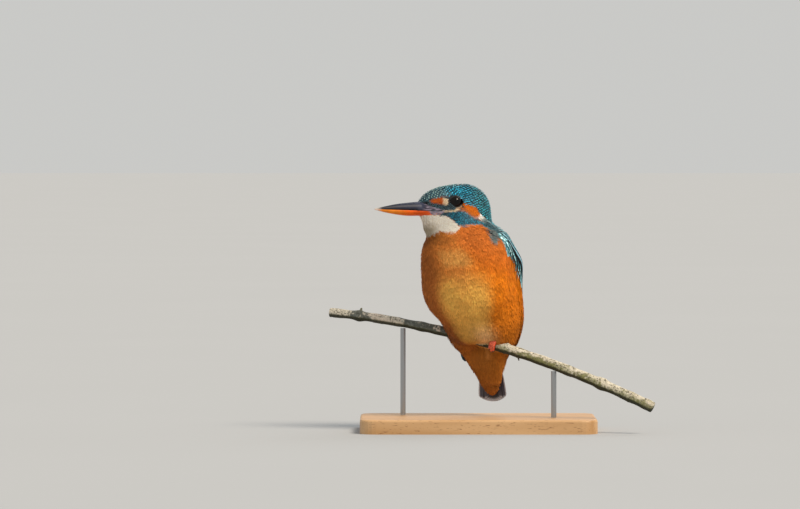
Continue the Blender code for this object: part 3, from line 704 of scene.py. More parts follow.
def root_rows(step, spacing, jitter, seed):
    """v and u of roots in staggered rows: step mm between rows, spacing mm between neighbours in a row."""
    rng = np.random.default_rng(seed)
    levels = (np.arange(int(run[-1].max() / step)) + 0.5) * step
    v_at = np.stack([np.interp(levels, column, table_v, right=np.nan) for column in run.T], axis=1)
    whole = np.nan_to_num(v_at, nan=1.0)
    row = whole * (TABLE_ROWS - 1)
    low = np.minimum(row.astype(int), TABLE_ROWS - 2)
    column = np.broadcast_to(np.arange(TABLE_COLUMNS + 1), low.shape)
    part = (row - low)[..., None]
    line = table[low, column] * (1 - part) + table[low + 1, column] * part
    girth = np.linalg.norm(np.diff(line, axis=1), axis=-1)
    girth = np.where(np.isnan(v_at[:, 1:]), 0, girth)
    walk = np.hstack([np.zeros((len(levels), 1)), np.cumsum(girth, axis=1)])
    counts = np.maximum((walk[:, -1] / spacing).astype(int), 1)
    vs, us = [], []
    for i, count in enumerate(counts):
        at = (np.arange(count) + 0.5 * (i % 2) + jitter * rng.uniform(-0.5, 0.5, count)) / count * walk[i, -1]
        u = np.interp(at, walk[i], table_u)
        s = levels[i] + jitter * step * rng.uniform(-0.5, 0.5, count)
        v = np.interp(u, table_u, whole[i]) + (s - levels[i]) / max(run[-1].max(), 1)
        keep = ~np.isnan(np.interp(u, table_u, v_at[i]))
        vs.append(v[keep])
        us.append(u[keep])
    return np.clip(np.concatenate(vs), 0.0005, 0.9995), np.concatenate(us) % 1.0


# %% The lie of the coat
FAN_POINT = np.array([25.0, 0, -0.5])  # the point in the bill from which the head's feathers spread


def lie(points, place, normal):
    """Unit directions in which feathers lie: the spread from the bill, turning down over the nape, eased
    into the run of the spine below the neck, then laid into the surface."""
    head = to_head(points)
    spread = head - FAN_POINT
    far = np.linalg.norm(spread, axis=-1, keepdims=True)
    drop = smooth(-head[:, 0], -4, 14)[:, None] * np.array([0, 0, -1.4])
    spread = (spread / far + drop) @ HEAD_AXES.T
    down = unit(along(SPINE, np.clip(place + 0.01, 0, 1)) - along(SPINE, np.clip(place - 0.01, 0, 1)))
    down = 0.6 * down + 0.4 * np.array([0.0, 0, -1.0])
    share = smooth(far[:, 0] - 6 * smooth(-head[:, 0], 0, 14), 20, 32)[:, None]
    way = spread * (1 - share) + down * share
    way -= (way * normal).sum(-1, keepdims=True) * normal
    return way / np.maximum(np.linalg.norm(way, axis=-1, keepdims=True), 1e-6)


# %% The wings' thickness over the body, for feathers that lie on a wing
GAP = 0.3
WING_ALONG, WING_TIP = 0.205, {"left": 0.885, "right": 0.93}
WING_EDGE = (84, 85, 90, 104, 109, 110, 109, 106, 100)
WING_BACK = (140, 157, 166, 169, 169, 166, 160, 148, 116)
WING_THICK, WING_RIM = 3.5, 0.55


def wing_bulge(t, across):
    """Thickness of a wing's shell: greatest along its middle and behind the shoulder, thin at its edges,
    at the shoulder itself and towards its tip."""
    crown = (1 - (2 * across - 1) ** 4) * np.sqrt(np.clip(1 - (2 * t - 1) ** 6, 0, 1))
    crown = crown * (1 - 0.72 * smooth(t, 0.25, 0.62))
    return WING_RIM + (WING_THICK - WING_RIM) * crown * (0.25 + 0.75 * smooth(t, 0.04, 0.36))


def wing_spot(place, angle):
    """t from a wing's shoulder to its tip and across from its lower edge to its upper one, at a place and
    angle of the body, and the signed turn, which is above 0 on the left."""
    turn = (angle + math.pi) % (2 * math.pi) - math.pi
    last = np.where(turn > 0, WING_TIP["left"], WING_TIP["right"])
    t = (place - WING_ALONG) / (last - WING_ALONG)
    low, high = along(WING_EDGE, t), along(WING_BACK, t)
    return t, (np.degrees(np.abs(turn)) - low) / (high - low), turn


def wing_height(place, angle):
    """How far a wing's outer face stands over the body at a place and angle; 0 beside the wing."""
    t, across, _ = wing_spot(place, angle)
    edge = smooth(across, -0.10, 0.04) * smooth(-across, -1.06, -0.96) * smooth(t, -0.05, 0.03)
    return edge * smooth(-t, -1.03, -0.97) * (GAP + wing_bulge(np.clip(t, 0, 1), np.clip(across, 0, 1)))


def rooted(step, spacing, jitter, seed, reach=2.0):
    """Everything a feather needs to know of its root, as arrays in one dictionary, for rows of roots. Its
    colours are those of the place reach mm further along the lie, where its open part will be seen."""
    v, u = root_rows(step, spacing, jitter, seed)
    place, rise = body_spot(v)
    angle = 2 * math.pi * u
    point = surface(place, angle, rise)
    normal = outward(point)
    way = lie(point, place, normal)
    along_place = (surface(place + 0.004, angle, rise) - point) / 0.004
    along_angle = (surface(place, angle + 0.02, rise) - point) / 0.02
    a, b, c = (along_place**2).sum(-1), (along_place * along_angle).sum(-1), (along_angle**2).sum(-1)
    p, q = (way * along_place).sum(-1), (way * along_angle).sum(-1)
    rest = np.maximum(a * c - b * b, 1e-6)
    place_rate, angle_rate = (p * c - q * b) / rest, (q * a - p * b) / rest
    seen = np.clip(place + place_rate * reach, 0, 1), angle + angle_rate * reach
    ground, mark, shares = markings(point + way * reach, *seen)
    cover = wing_height(place, angle)
    under_feathers = smooth(cover, 0.0, 0.8)
    return {
        "v": v, "u": u, "place": place, "angle": angle, "rise": rise, "point": point, "normal": normal,
        "way": way, "ground": ground, "mark": mark, "head": to_head(point + way * reach),
        "depth": coat_depth(point) * (1 - under_feathers) + 0.5 * under_feathers, "cover": cover,
        "eye": from_eye(point), "place_rate": place_rate, "angle_rate": angle_rate,
        **{f"is_{key}": value for key, value in shares.items()},
    }


def chosen(roots, keep):
    """The roots for which keep is true."""
    return {key: value[keep] for key, value in roots.items()}


def mottled(roots, size, amount, seed):
    """The roots with their mark colour made brighter and darker in patches of size mm and one by one."""
    change = 0.7 * wave(roots["point"], size, seed)
    change = change + 0.7 * np.random.default_rng(seed).normal(size=len(change))
    return {**roots, "mark": (roots["mark"] * (1 + amount * change)[:, None]).clip(0.004, 1)}


def tinted(roots, ground, mark, share=1.0):
    """The roots with their ground and mark colours mixed towards two hex colours, by share."""
    share = np.broadcast_to(np.asarray(share, float), roots["v"].shape)[:, None]
    pair = {"ground": linear(ground), "mark": linear(mark)}
    return {**roots, **{key: roots[key] * (1 - share) + value * share for key, value in pair.items()}}


roots = rooted(6.0, 6.0, 0.3, 1)
steepest = np.abs((roots["way"] * roots["normal"]).sum(-1)).max()
print("test roots:", len(roots["v"]), "steepest lie off the surface:", float(steepest))

# %% [markdown]
# ## Two kinds of feather
# Breast and belly feathers are loose: the barbs part at the tip like a brush. Each is made as a fan of
# narrow strips that share a root. Crown, back and wing feathers hold together: each is one small leaf with
# a ridge along its shaft. Both are a few dozen faces, made once and then set on all roots in one array
# sum: root + length along the lie + width to the side. The height over the body is then put right by
# moving each point along the root's normal until its depth in the volume is the one wanted.

# %% The shapes


def brush_shape(strips, rows=(0.0, 0.55, 1.0), widths=(0.55, 1.0, 0.16)):
    """A fan of strips: along a and across b of every point, which strip it is in, and its faces. Every
    strip narrows to its tip, and the outer ones are shorter."""
    middle = (np.arange(strips) + 0.5) / strips * 2 - 1
    a = np.broadcast_to(np.array(rows)[:, None], (strips, len(rows), 2)).copy()
    a *= (1 - 0.22 * middle**2)[:, None, None]
    half = np.array(widths)[:, None] / strips * 1.25
    b = middle[:, None, None] + half * np.array([-1, 1])
    which = np.broadcast_to(np.arange(strips)[:, None, None], a.shape)
    faces = repeat_faces(grid_faces(len(rows), 2), strips, 2 * len(rows))
    return a.ravel(), b.ravel(), which.ravel(), faces


def leaf_shape(columns=5, rows=(0.0, 0.3, 0.55, 0.72, 0.86, 0.95, 1.0)):
    """A leaf: its width follows a rounded profile, and its end is a little ragged."""
    b = np.linspace(-1, 1, columns)
    a = np.array(rows)[:, None]
    width = np.clip(1 - ((a - 0.62) / 0.62) ** 2, 0.10, 1) ** 0.5
    width = np.where(a > 0.62, np.clip(1 - ((a - 0.62) / 0.40) ** 2, 0.04, 1) ** 0.5, width)
    ragged = 0.05 * a**6 * np.cos(np.arange(columns) * 2.4)
    aa = a * (1 - 0.06 * b**2) + ragged
    bb = b * width
    which = np.zeros_like(aa, int)
    return aa.ravel(), bb.ravel(), which.ravel(), grid_faces(len(rows), columns)


def plumage_piece(name, roots, shape, item, length, width, lift=0.25, spread=0.45, curl=0.1, seed=1,
                  camber=0.08, tone=0.10, root_share=1.0, loose=0.12):
    """Feathers of one shape on many roots, as one mesh.

    length and width are arrays in mm. Each point starts at root + way * length * a + side * width / 2 * b,
    where b spreads with a. Its wanted height is -depth * (1 - a)^1.5 + lift * a^2 less a camber across,
    plus the height of whatever lies under it. loose is how far single strips stray.
    """
    rng = np.random.default_rng(seed)
    a, b, which, faces = shape
    count, stride, strips = len(roots["v"]), len(a), which.max() + 1
    stray = rng.normal(size=(3, count, strips))[:, :, which] * loose
    long_a = a * (1 + stray[0] * 0.6)
    fan = (1 - spread) + spread * a
    wide_b = b * fan + stray[1] * a * 0.5 + curl * rng.normal(size=(count, 1)) * a**2
    side = np.cross(roots["normal"], roots["way"])
    length, width = np.broadcast_to(length, count), np.broadcast_to(width, count)
    points = roots["point"][:, None] + roots["way"][:, None] * (length[:, None] * long_a)[..., None]
    points += side[:, None] * (width[:, None] / 2 * wide_b)[..., None]
    under = wing_height(roots["place"], roots["angle"])
    at = roots["place"] + roots["place_rate"] * length, roots["angle"] + roots["angle_rate"] * length
    after = np.where(roots["rise"] == 0, wing_height(np.clip(at[0], 0, 1), at[1]), 0)
    under = under[:, None] + (after - under)[:, None] * smooth(a)
    own = lift * rng.uniform(0.4, 1.6, (count, 1))
    want = -root_share * roots["depth"][:, None] * (1 - np.clip(a, 0, 1)) ** 1.5 + own * a**2
    want = want - camber * width[:, None] * b**2 * a + stray[2] * a**2 * 0.6 + under
    for _ in range(2):
        off = want - depth(points)
        points += roots["normal"][:, None] * off[..., None]
    shade = 1 + tone * rng.normal(size=(count, 1, 1)) * np.ones((1, stride, 1))
    strip_shade = 1 + 0.5 * tone * rng.normal(size=(count, strips))[:, which][..., None]
    grounds = (roots["ground"][:, None] * shade * strip_shade).clip(0, 1).reshape(-1, 3)
    marks = (roots["mark"][:, None] * shade * strip_shade).clip(0, 1).reshape(-1, 3)
    vane = np.stack([np.broadcast_to(a, (count, stride)), np.broadcast_to(b, (count, stride))], axis=-1)
    flat = fitted(np.stack([roots["u"], roots["v"]], axis=-1))
    patch = flat[:, None] + 0.0015 * np.stack([b, 2 * a - 1], axis=-1)
    build(
        name, points, repeat_faces(faces, count, stride), item, vane=vane.reshape(-1, 2),
        bake=patch.reshape(-1, 2), colours={"Ground": grounds, "Mark": marks},
    )


print("strips in a brush of 9:", len(brush_shape(9)[3]), "faces; in a leaf:", len(leaf_shape()[3]))

# %% [markdown]
# ## Feather keratin
# A feather is keratin: dull where its barbs are loose, satiny where they lock into a vane. Orange comes
# from pigment and looks the same from all sides. Blue comes from the fine structure of the barbs, so it is
# a little glossier. The base of each feather is in the shadow of the ones above. The pattern map gives
# the way along a feather and across it, so one material can draw a bar, a tip or a spot on every feather.

# %% Feather materials
NEVER = (2.0, 2.1)  # a range past the end of every feather
EASED = {"interpolation_type": "SMOOTHSTEP"}


def vane_map(tree):
    """The way along a feather, the way across it, and how far aside of its shaft."""
    vane = add(tree, "SeparateXYZ", {0: add(tree, "UVMap", uv_map="Vane")}).outputs
    return vane["X"], vane["Y"], add(tree, "Math", {0: vane["Y"]}, operation="ABSOLUTE")


def dress_vane(tree, shader, share, barbs, dark, tones, strength):
    """The ground colour with the mark colour laid over it by share, times the barbs' light and dark lines,
    times dark. The barbs are the relief too."""
    ground, mark = [add(tree, "VertexColor", layer_name=name) for name in ("Ground", "Mark")]
    lines = {"Value": barbs, "From Min": 0.3, "From Max": 0.7, "To Min": tones[0], "To Max": tones[1]}
    lit = add(tree, "MapRange", lines)
    bright = add(tree, "Math", {0: lit, 1: dark}, operation="MULTIPLY")
    colour = add(tree, "Mix", {0: share, 6: ground, 7: mark}, data_type="RGBA").outputs[2]
    dress(tree, shader, colour, bright, barbs, strength)


def feather_finish(name, start, end=NEVER, inside=NEVER, base_dark=0.42, tones=(0.74, 1.2), **values):
    """Ground colour with the mark colour from start to end along the feather and within inside across it.
    The barbs are fine light and dark lines, broken by noise, and base_dark is the light left at the root."""
    made, tree, shader = finish(name, **values)
    run, _, aside = vane_map(tree)
    share = 1.0
    for value, (low, high), first in ((run, start, 0), (run, end, 1), (aside, inside, 1)):
        limits = {"Value": value, "From Min": low, "From Max": high, "To Min": first, "To Max": 1 - first}
        step = add(tree, "MapRange", limits, **EASED)
        share = add(tree, "Math", {0: share, 1: step}, operation="MULTIPLY")
    spot = add(tree, "TexCoord").outputs["Object"]
    place = add(tree, "VectorMath", {0: spot, 1: (420.0, 420.0, 420.0)}, operation="MULTIPLY")
    stretched = add(tree, "Math", {0: run, 1: 1.6}, operation="MULTIPLY")
    slant = add(tree, "Math", {0: aside, 1: 9.0, 2: stretched}, operation="MULTIPLY_ADD")
    drawn = add(tree, "CombineXYZ", {"X": slant, "Y": stretched})
    where = add(tree, "VectorMath", {0: drawn, 1: place}, operation="ADD")
    noise = {"Vector": where, "Scale": 1.0, "Detail": 3.0, "Roughness": 0.6}
    barbs = add(tree, "TexNoise", noise)
    base = {"Value": run, "From Min": 0.05, "From Max": 0.6, "To Min": base_dark}
    down = add(tree, "MapRange", base, **EASED)
    dress_vane(tree, shader, share, barbs, down, tones, 0.35)
    return made


loose_finish = feather_finish("loose_orange_plumage", (0.55, 1.0), base_dark=0.74, tones=(0.9, 1.06),
                              Roughness=0.8, Specular_IOR_Level=0.12)
barred_finish = feather_finish("barred_crown_feather", (0.80, 0.84), (0.93, 0.98), base_dark=0.3,
                               Roughness=0.55, Specular_IOR_Level=0.25)
face_finish = feather_finish("short_face_plumage", (0.6, 0.95), base_dark=0.6, Roughness=0.75,
                             Specular_IOR_Level=0.15)
spotted_finish = feather_finish("spotted_cheek_feather", (0.72, 0.86), inside=(0.25, 0.6), Roughness=0.6)
vane_finish = feather_finish("blue_green_vane", (0.55, 1.1), Roughness=0.5, Sheen_Weight=0.1)
print("feather materials:", sum("plumage" in m.name or "feather" in m.name for m in bpy.data.materials))

# %% [markdown]
# ## The coat, tract by tract
# Ornithologists call a field of feathers a tract. The face has the smallest feathers, barely two
# millimetres long. The crown's are scales with a light bar near the tip. The throat, breast and belly have
# loose brushes that grow longer downwards. The belly's longest tips hang over the perch, so they get roots
# and a path of their own, worked out from the perch and not from the body.

# %% The perch's line, which the belly feathers keep out of
PERCH_LEFT, PERCH_RIGHT, PERCH_TURN = -83.0, 96.0, math.radians(20.0)
PERCH_RADIUS, PERCH_GROWTH = 2.72, 0.0026
PERCH_SLOPE, PERCH_SAG, PERCH_DROP = -0.268, -0.0011, -1.3
PERCH_KNOTS = (
    (-66.5, 0.8), (-31.0, 0.3), (15.5, 0.35), (22.0, 0.3), (50.5, 0.3), (68.0, 0.5), (84.0, 0.3)
)
KNOT_WIDTH = 2.6


def perch_point(x):
    """Centre of the perch at X = x, in world millimetres: a line with a slope and a slight sag."""
    x = np.asarray(x, float)
    height = PERCH_HEIGHT + PERCH_DROP + PERCH_SLOPE * x + PERCH_SAG * x**2
    return np.stack([x, -math.tan(PERCH_TURN) * x, height], axis=-1)


def perch_frame(x):
    """Unit directions at X = x: along the perch, level and ahead of it, and above it."""
    run = unit(perch_point(x + 0.5) - perch_point(x - 0.5))
    ahead = unit(np.cross(run, [0, 0, 1.0]))
    return run, ahead, np.cross(ahead, run)


def perch_radius(x):
    """The branch thickens to the right and swells at its knots."""
    x = np.asarray(x, float)
    swell = sum(size * np.exp(-(((x - at) / KNOT_WIDTH) ** 2)) for at, size in PERCH_KNOTS)
    waves = 0.09 * np.sin(0.21 * x) + 0.06 * np.sin(0.55 * x + 1.0)
    return PERCH_RADIUS + PERCH_GROWTH * x + waves + swell


def from_perch(points):
    """Distance in mm from the perch's bark to points in the bird's axes, below 0 inside the wood."""
    spots = from_bird(points)
    run = np.array([1, -math.tan(PERCH_TURN), 0]) * math.cos(PERCH_TURN)
    x = (spots * run).sum(-1) * math.cos(PERCH_TURN)
    return np.linalg.norm(spots - perch_point(x), axis=-1) - perch_radius(x)


# %% Face, throat and crown
FACE_MARKS = ("face", "lore", "chin", "pale", "ear", "white", "buff")


def strongest(roots, names):
    """The greatest share of any of the named marks at each root."""
    return np.max([roots[f"is_{name}"] for name in names], axis=0)


def off_bill(roots):
    """True outside the bare bill and gape: ahead of a slanting line the horn has no feathers."""
    x, y, z = roots["head"].T
    return ~((x > 18.6 - 0.25 * np.abs(y)) & (np.abs(y) < 6.5) & (z > -3.3) & (z < 5.2))


def by_face(roots):
    """True on the head round the face marks, where no larger feather may grow."""
    x, _, z = roots["head"].T
    unmarked = (roots["is_malar"] < 0.45) & (roots["is_throat"] < 0.45)
    return (z > -5) & (x > -11) & (roots["place"] < 0.3) & unmarked


roots = rooted(0.78, 0.8, 0.5, 11, reach=1.9)
open_skin = (roots["eye"] > 3.45) & off_bill(roots)
on_face = (strongest(roots, FACE_MARKS) > 0.5) & (roots["head"][:, 2] > -13) | by_face(roots)
on_face &= roots["is_crown"] <= 0.5
face = chosen(roots, open_skin & on_face)
near = smooth(face["eye"], 3.4, 6.0)
plumage_piece(
    "face_plumes", face, brush_shape(5), face_finish, 1.7 + 1.1 * near, 1.0 + 0.2 * near,
    lift=0.12, seed=12, tone=0.08, root_share=0.9,
)
cheek = chosen(roots, open_skin & (roots["is_malar"] > 0.45) & ~on_face)
grow = smooth(-cheek["head"][:, 0], -8, 12)
plumage_piece(
    "cheek_plumes", mottled(cheek, 2.2, 0.5, 22), brush_shape(5), spotted_finish,
    2.3 + 1.4 * grow, 1.2 + 0.5 * grow, lift=0.15, seed=13, tone=0.10,
)

# %% Throat
SOFT_BRUSH = brush_shape(7, widths=(0.9, 1.35, 0.42))  # strips wide enough to lie over each other

roots = rooted(0.95, 1.0, 0.5, 14, reach=3.0)
throat = chosen(roots, off_bill(roots) & (roots["is_throat"] > 0.45))
plumage_piece(
    "throat_plumes", throat, SOFT_BRUSH, loose_finish, 3.6, 1.8, lift=0.16, seed=15,
    tone=0.04, curl=0.12, loose=0.09,
)

# %% Crown and nape
roots = rooted(1.35, 1.45, 0.3, 16, reach=2.4)
crown = chosen(roots, (roots["eye"] > 3.5) & off_bill(roots) & (roots["is_crown"] > 0.5))
size = 0.62 + 0.38 * smooth(-crown["head"][:, 0], -14, 2)
plumage_piece(
    "crown_scales", mottled(crown, 4.0, 0.35, 21), leaf_shape(4), barred_finish, 3.7 * size,
    1.95 * size, lift=0.2, seed=17, tone=0.14, spread=0.2, camber=0.12, loose=0.05,
)

# %% Breast, belly and flanks
roots = rooted(1.3, 1.4, 0.5, 18, reach=4.0)
ALL_MARKS = (*FACE_MARKS, "malar", "throat", "crown")
clear = (strongest(roots, ALL_MARKS) < 0.5) & (roots["is_back"] < 0.5) & (roots["is_azure"] < 0.5)
clear &= (from_perch(roots["point"]) > 0.2) & (roots["place"] < 0.9)
clear &= ((roots["head"][:, 0] < 8.5) | (roots["head"][:, 2] < -5)) & ~by_face(roots)
clear &= (roots["cover"] < 0.3) | (roots["place"] < 0.40) | (np.sin(roots["angle"]) > 0)
orange = chosen(roots, clear)
low = smooth(orange["place"], 0.1, 0.5)
halves = (("breast_plumes", orange["place"] < 0.42, 19), ("belly_plumes", orange["place"] >= 0.42, 20))
for name, part, seed in halves:
    plumage_piece(
        name, mottled(chosen(orange, part), 5.0, 0.12, seed), SOFT_BRUSH, loose_finish,
        5.0 + 2.4 * low[part], 2.7 + 0.9 * low[part], lift=0.32, seed=seed, tone=0.07, curl=0.14,
        loose=0.10,
    )

# %% The belly's longest tips, which hang over the front of the perch
FRINGE, FRINGE_ENDS, FRINGE_LENGTHS = 190, (-9.0, 7.2), (5.0, 8.2)
FRINGE_BEND = 3.6  # mm of feather for each radian that it turns round the perch

rng = np.random.default_rng(24)
a, b, which, faces = SOFT_BRUSH
x = np.sort(rng.uniform(*FRINGE_ENDS, FRINGE))[:, None]
course, ahead, above = perch_frame(0.5)
length = rng.uniform(*FRINGE_LENGTHS, (FRINGE, 1)) - 1.6 * smooth(x, 2.0, 7.0)
stray = rng.normal(size=(FRINGE, which.max() + 1))[:, which]
bend = rng.uniform(-0.7, 0.5, (FRINGE, 1)) + length * a * (1 + 0.1 * stray) / FRINGE_BEND
bend = np.clip(bend, -1, 1.75)
hang = np.clip(length * a / FRINGE_BEND - 1.6, 0, 2) * 2.2  # what is left after the bend hangs straight
far = perch_radius(x) + 0.25 + rng.uniform(0, 0.9, (FRINGE, 1)) * a + 0.5 * a**2
aside = 1.25 * b * (0.55 + 0.45 * a) + 0.35 * stray * a - 0.9 * a
points = perch_point(x[:, 0])[:, None] + far[..., None] * turned(above, ahead, bend)
points = points + aside[..., None] * course - hang[..., None] * [0, 0, 1.0]
tone = 1 + 0.10 * rng.normal(size=(FRINGE, 1, 1)) * np.ones((1, len(a), 1))
flat = np.stack([0.02 + 0.96 * np.arange(FRINGE) / FRINGE, rng.uniform(0.02, 0.98, FRINGE)], axis=-1)
tints = {"Ground": linear("#b87a38"), "Mark": linear("#e6c490")}
build(
    "belly_fringe", points, repeat_faces(faces[:, ::-1], FRINGE, len(a)), loose_finish,
    vane=np.tile(np.stack([a, b], axis=-1), (FRINGE, 1)),
    bake=(flat[:, None] + 0.0015 * np.stack([b, 2 * a - 1], axis=-1)).reshape(-1, 2),
    colours={label: (tint * tone).reshape(-1, 3).clip(0, 1) for label, tint in tints.items()}, in_bird=False,
)

# %% [markdown]
# ## Eyes and lids
# The eye is a wet ball, almost black: a pupil inside a very dark brown iris under a clear bulging cornea.
# It sits deep, with only its front third between the lids. The lids are a ring of bare dark skin with fine
# folds, drawn out a little at both corners. The ball is a circle profile turned round the eye's axis, and
# the ring is a rolled profile carried round the opening.

# %% Eyeballs
BALL_ROWS, BALL_COLUMNS = 48, 48
PUPIL, IRIS, CORNEA_SPREAD = 0.40, 0.86, 0.62  # radians from the axis
CORNEA_HEIGHT = 0.20


def eye_ring(axis, turn):
    """Unit directions square to an eye's axis: its up, turned to the side, and round the same way for both
    eyes as seen from outside."""
    up = unit(HEAD_AXES[:, 2] - (HEAD_AXES[:, 2] @ axis) * axis)
    rear = np.cross(axis, up)
    rear *= -np.sign(rear @ HEAD_AXES[:, 0])
    handed = 1 if np.dot(np.cross(up, rear), axis) > 0 else -1
    return turned(up, handed * rear, turn)


wet, tree, shader = finish("wet_cornea", Roughness=0.07, IOR=1.376, Specular_IOR_Level=0.32)
dress(tree, shader)

lean = np.linspace(0.02, math.pi - 0.02, BALL_ROWS)
turn = np.linspace(0, 2 * math.pi, BALL_COLUMNS, endpoint=False)
for side, (middle, axis) in EYES.items():
    radius = EYE_RADIUS + CORNEA_HEIGHT * np.exp(-((lean / CORNEA_SPREAD) ** 2))
    rings = turned(axis, eye_ring(axis, turn), lean[:, None])
    points = middle + radius[:, None, None] * rings
    points = np.vstack([points.reshape(-1, 3), middle + axis * radius[0], middle - axis * radius[-1]])
    at = np.append(np.repeat(lean, BALL_COLUMNS), [0, math.pi])
    iris = smooth(at, PUPIL, PUPIL + 0.05) * smooth(-at, -IRIS, -IRIS + 0.06)
    colour = mixed("#050404", ("#100906", iris))
    faces, flat_map = tube_faces(BALL_ROWS, BALL_COLUMNS)
    ball = build(f"eyeball_{side}", points, faces, wet, bake=flat_map, colours={"Ground": colour})
    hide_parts(f"eye_{side}")

# %% Lids
LID_PROFILE = np.array([  # out from the opening, and height over the ball or the plumage
    (-0.30, -0.45), (-0.02, 0.00), (0.06, 0.20), (0.24, 0.30), (0.46, 0.22), (0.72, 0.02), (1.05, -0.30),
    (1.5, -0.8),
])
LID_STEPS, LID_COLUMNS = 72, len(LID_PROFILE)

lid_finish, tree, shader = finish("bare_eyelid_skin", Roughness=0.5)
spot = add(tree, "TexCoord").outputs["Object"]
folds = add(tree, "TexVoronoi", {"Vector": spot, "Scale": 3400.0})
tone = add(tree, "MapRange", {"Value": folds, "To Min": 1.2, "To Max": 0.6})
dress(tree, shader, None, tone, folds, invert=True)

psi = np.linspace(0, 2 * math.pi, LID_STEPS, endpoint=False)
aside, profile = LID_PROFILE.T
uu, vv = np.meshgrid(np.arange(LID_COLUMNS) / (LID_COLUMNS - 1), np.arange(LID_STEPS) / LID_STEPS)
join = grid_faces(2, LID_COLUMNS)  # the cells between the last row and the first
join = np.where(join < LID_COLUMNS, join + (LID_STEPS - 1) * LID_COLUMNS, join - LID_COLUMNS)
faces = np.vstack([grid_faces(LID_STEPS, LID_COLUMNS), join])[:, ::-1]
for side, (middle, axis) in EYES.items():
    opening = LID_OPENING + 0.25 * np.sin(psi) ** 2 + 0.5 * np.abs(np.sin(psi)) ** 10
    out = opening[:, None] + aside * (1 + 0.06 * np.sin(9 * psi + 1))[:, None]
    height = np.sqrt(np.maximum(EYE_RADIUS**2 - np.minimum(out, 3.6) ** 2, 0.8)) + profile
    points = middle + out[..., None] * eye_ring(axis, psi)[:, None] + height[..., None] * axis
    points = points + (smooth(aside, 0.3, 0.9) * (profile - 0.1 - depth(points)))[..., None] * axis
    share = smooth(aside, 0.25, 0.75) * smooth(-np.cos(psi), 0.2, 0.8)[:, None] * 0.8
    colour = mixed("#171314", ("#b99877", share))
    build(
        f"eyelid_{side}", points.reshape(-1, 3), faces, lid_finish,
        bake=np.column_stack([uu.ravel(), vv.ravel()]), colours={"Ground": colour.reshape(-1, 3)},
    )
print("eye middle, mm:", np.round(EYES["left"][0], 1).tolist())

# %% [markdown]
# ## Bill
# The bill is horn over bone: a dark upper half and, on a female, an orange lower half, both with a pale
# worn tip. Each half is an arch carried along the length, flat on the line where the halves meet. Fine
# growth lines run along the horn, and behind it the bare gape runs back along the face to below the eye.

# %% Bill halves
BILL_BASE, BILL_TIP = 8.0, 46.6
GAPE_Z, TIP_Z = -0.95, 1.4
CULMEN = (5.6, 5.3, 4.95, 4.55, 3.95, 2.9, 1.75)
GONYS = (-2.9, -2.9, -2.9, -2.75, -1.9, -0.6, 1.05)
BILL_HALF = (5.6, 5.1, 4.3, 3.4, 2.45, 1.45, 0.3)
BILL_POWER = {True: 0.8, False: 0.9}  # how round the upper and the lower half are: 1 is an ellipse
BILL_ROWS, BILL_COLUMNS, BILL_FLAT = 110, 40, 8  # of the columns, so many lie on the flat side

horn, tree, shader = finish("polished_bill_horn", Roughness=0.42, IOR=1.54, Specular_IOR_Level=0.22)
spot = add(tree, "TexCoord").outputs["Object"]
lengthwise, across, _ = vane_map(tree)
long_lines = add(tree, "CombineXYZ", {"X": lengthwise, "Y": across})
stretched = add(tree, "VectorMath", {0: long_lines, 1: (3.0, 26.0, 1.0)}, operation="MULTIPLY")
lines = add(tree, "TexNoise", {"Vector": stretched, "Scale": 1.0, "Detail": 5.0})
blotch = add(tree, "TexNoise", {"Vector": spot, "Scale": 320.0, "Detail": 3.0})
both = add(tree, "Math", {0: lines, 1: blotch}, operation="ADD")
tone = add(tree, "MapRange", {"Value": both, "From Min": 0.7, "From Max": 1.3, "To Min": 0.8, "To Max": 1.18})
dress(tree, shader, None, tone, lines, 0.25, 0.00015)


def bill_half(upper):
    """Points of one half of the bill, in the head's axes, its place along, and its place round."""
    t = np.linspace(0, 1, BILL_ROWS)[:, None]
    turn = np.linspace(-math.pi / 2, math.pi / 2, BILL_COLUMNS - BILL_FLAT)
    flat = np.linspace(1, -1, BILL_FLAT + 2)[1:-1]
    x = BILL_BASE + (BILL_TIP - BILL_BASE) * t
    meet = GAPE_Z + (TIP_Z - GAPE_Z) * t
    edge = along(CULMEN if upper else GONYS, t[:, 0])[:, None]
    half = along(BILL_HALF, t[:, 0])[:, None]
    sign = 1 if upper else -1
    rise = np.abs(edge - meet) - 0.06
    y = half * np.concatenate([np.sin(turn), flat])
    z = np.concatenate([np.cos(turn) ** BILL_POWER[upper], np.zeros(BILL_FLAT)])
    z = meet + sign * (0.06 + rise * z)
    lip = np.concatenate([np.exp(-((np.abs(turn) - math.pi / 2) ** 2) / 0.02), np.zeros(BILL_FLAT)])
    y = y * (1 - 0.06 * (1 - t) * lip)
    points = np.stack([np.broadcast_to(x, y.shape), y, z], axis=-1)
    round_share = np.concatenate([np.abs(turn) / (math.pi / 2), np.ones(BILL_FLAT)])
    round_share = np.broadcast_to(round_share, y.shape)
    return points[:, ::sign], np.broadcast_to(t, y.shape), round_share[:, ::sign]


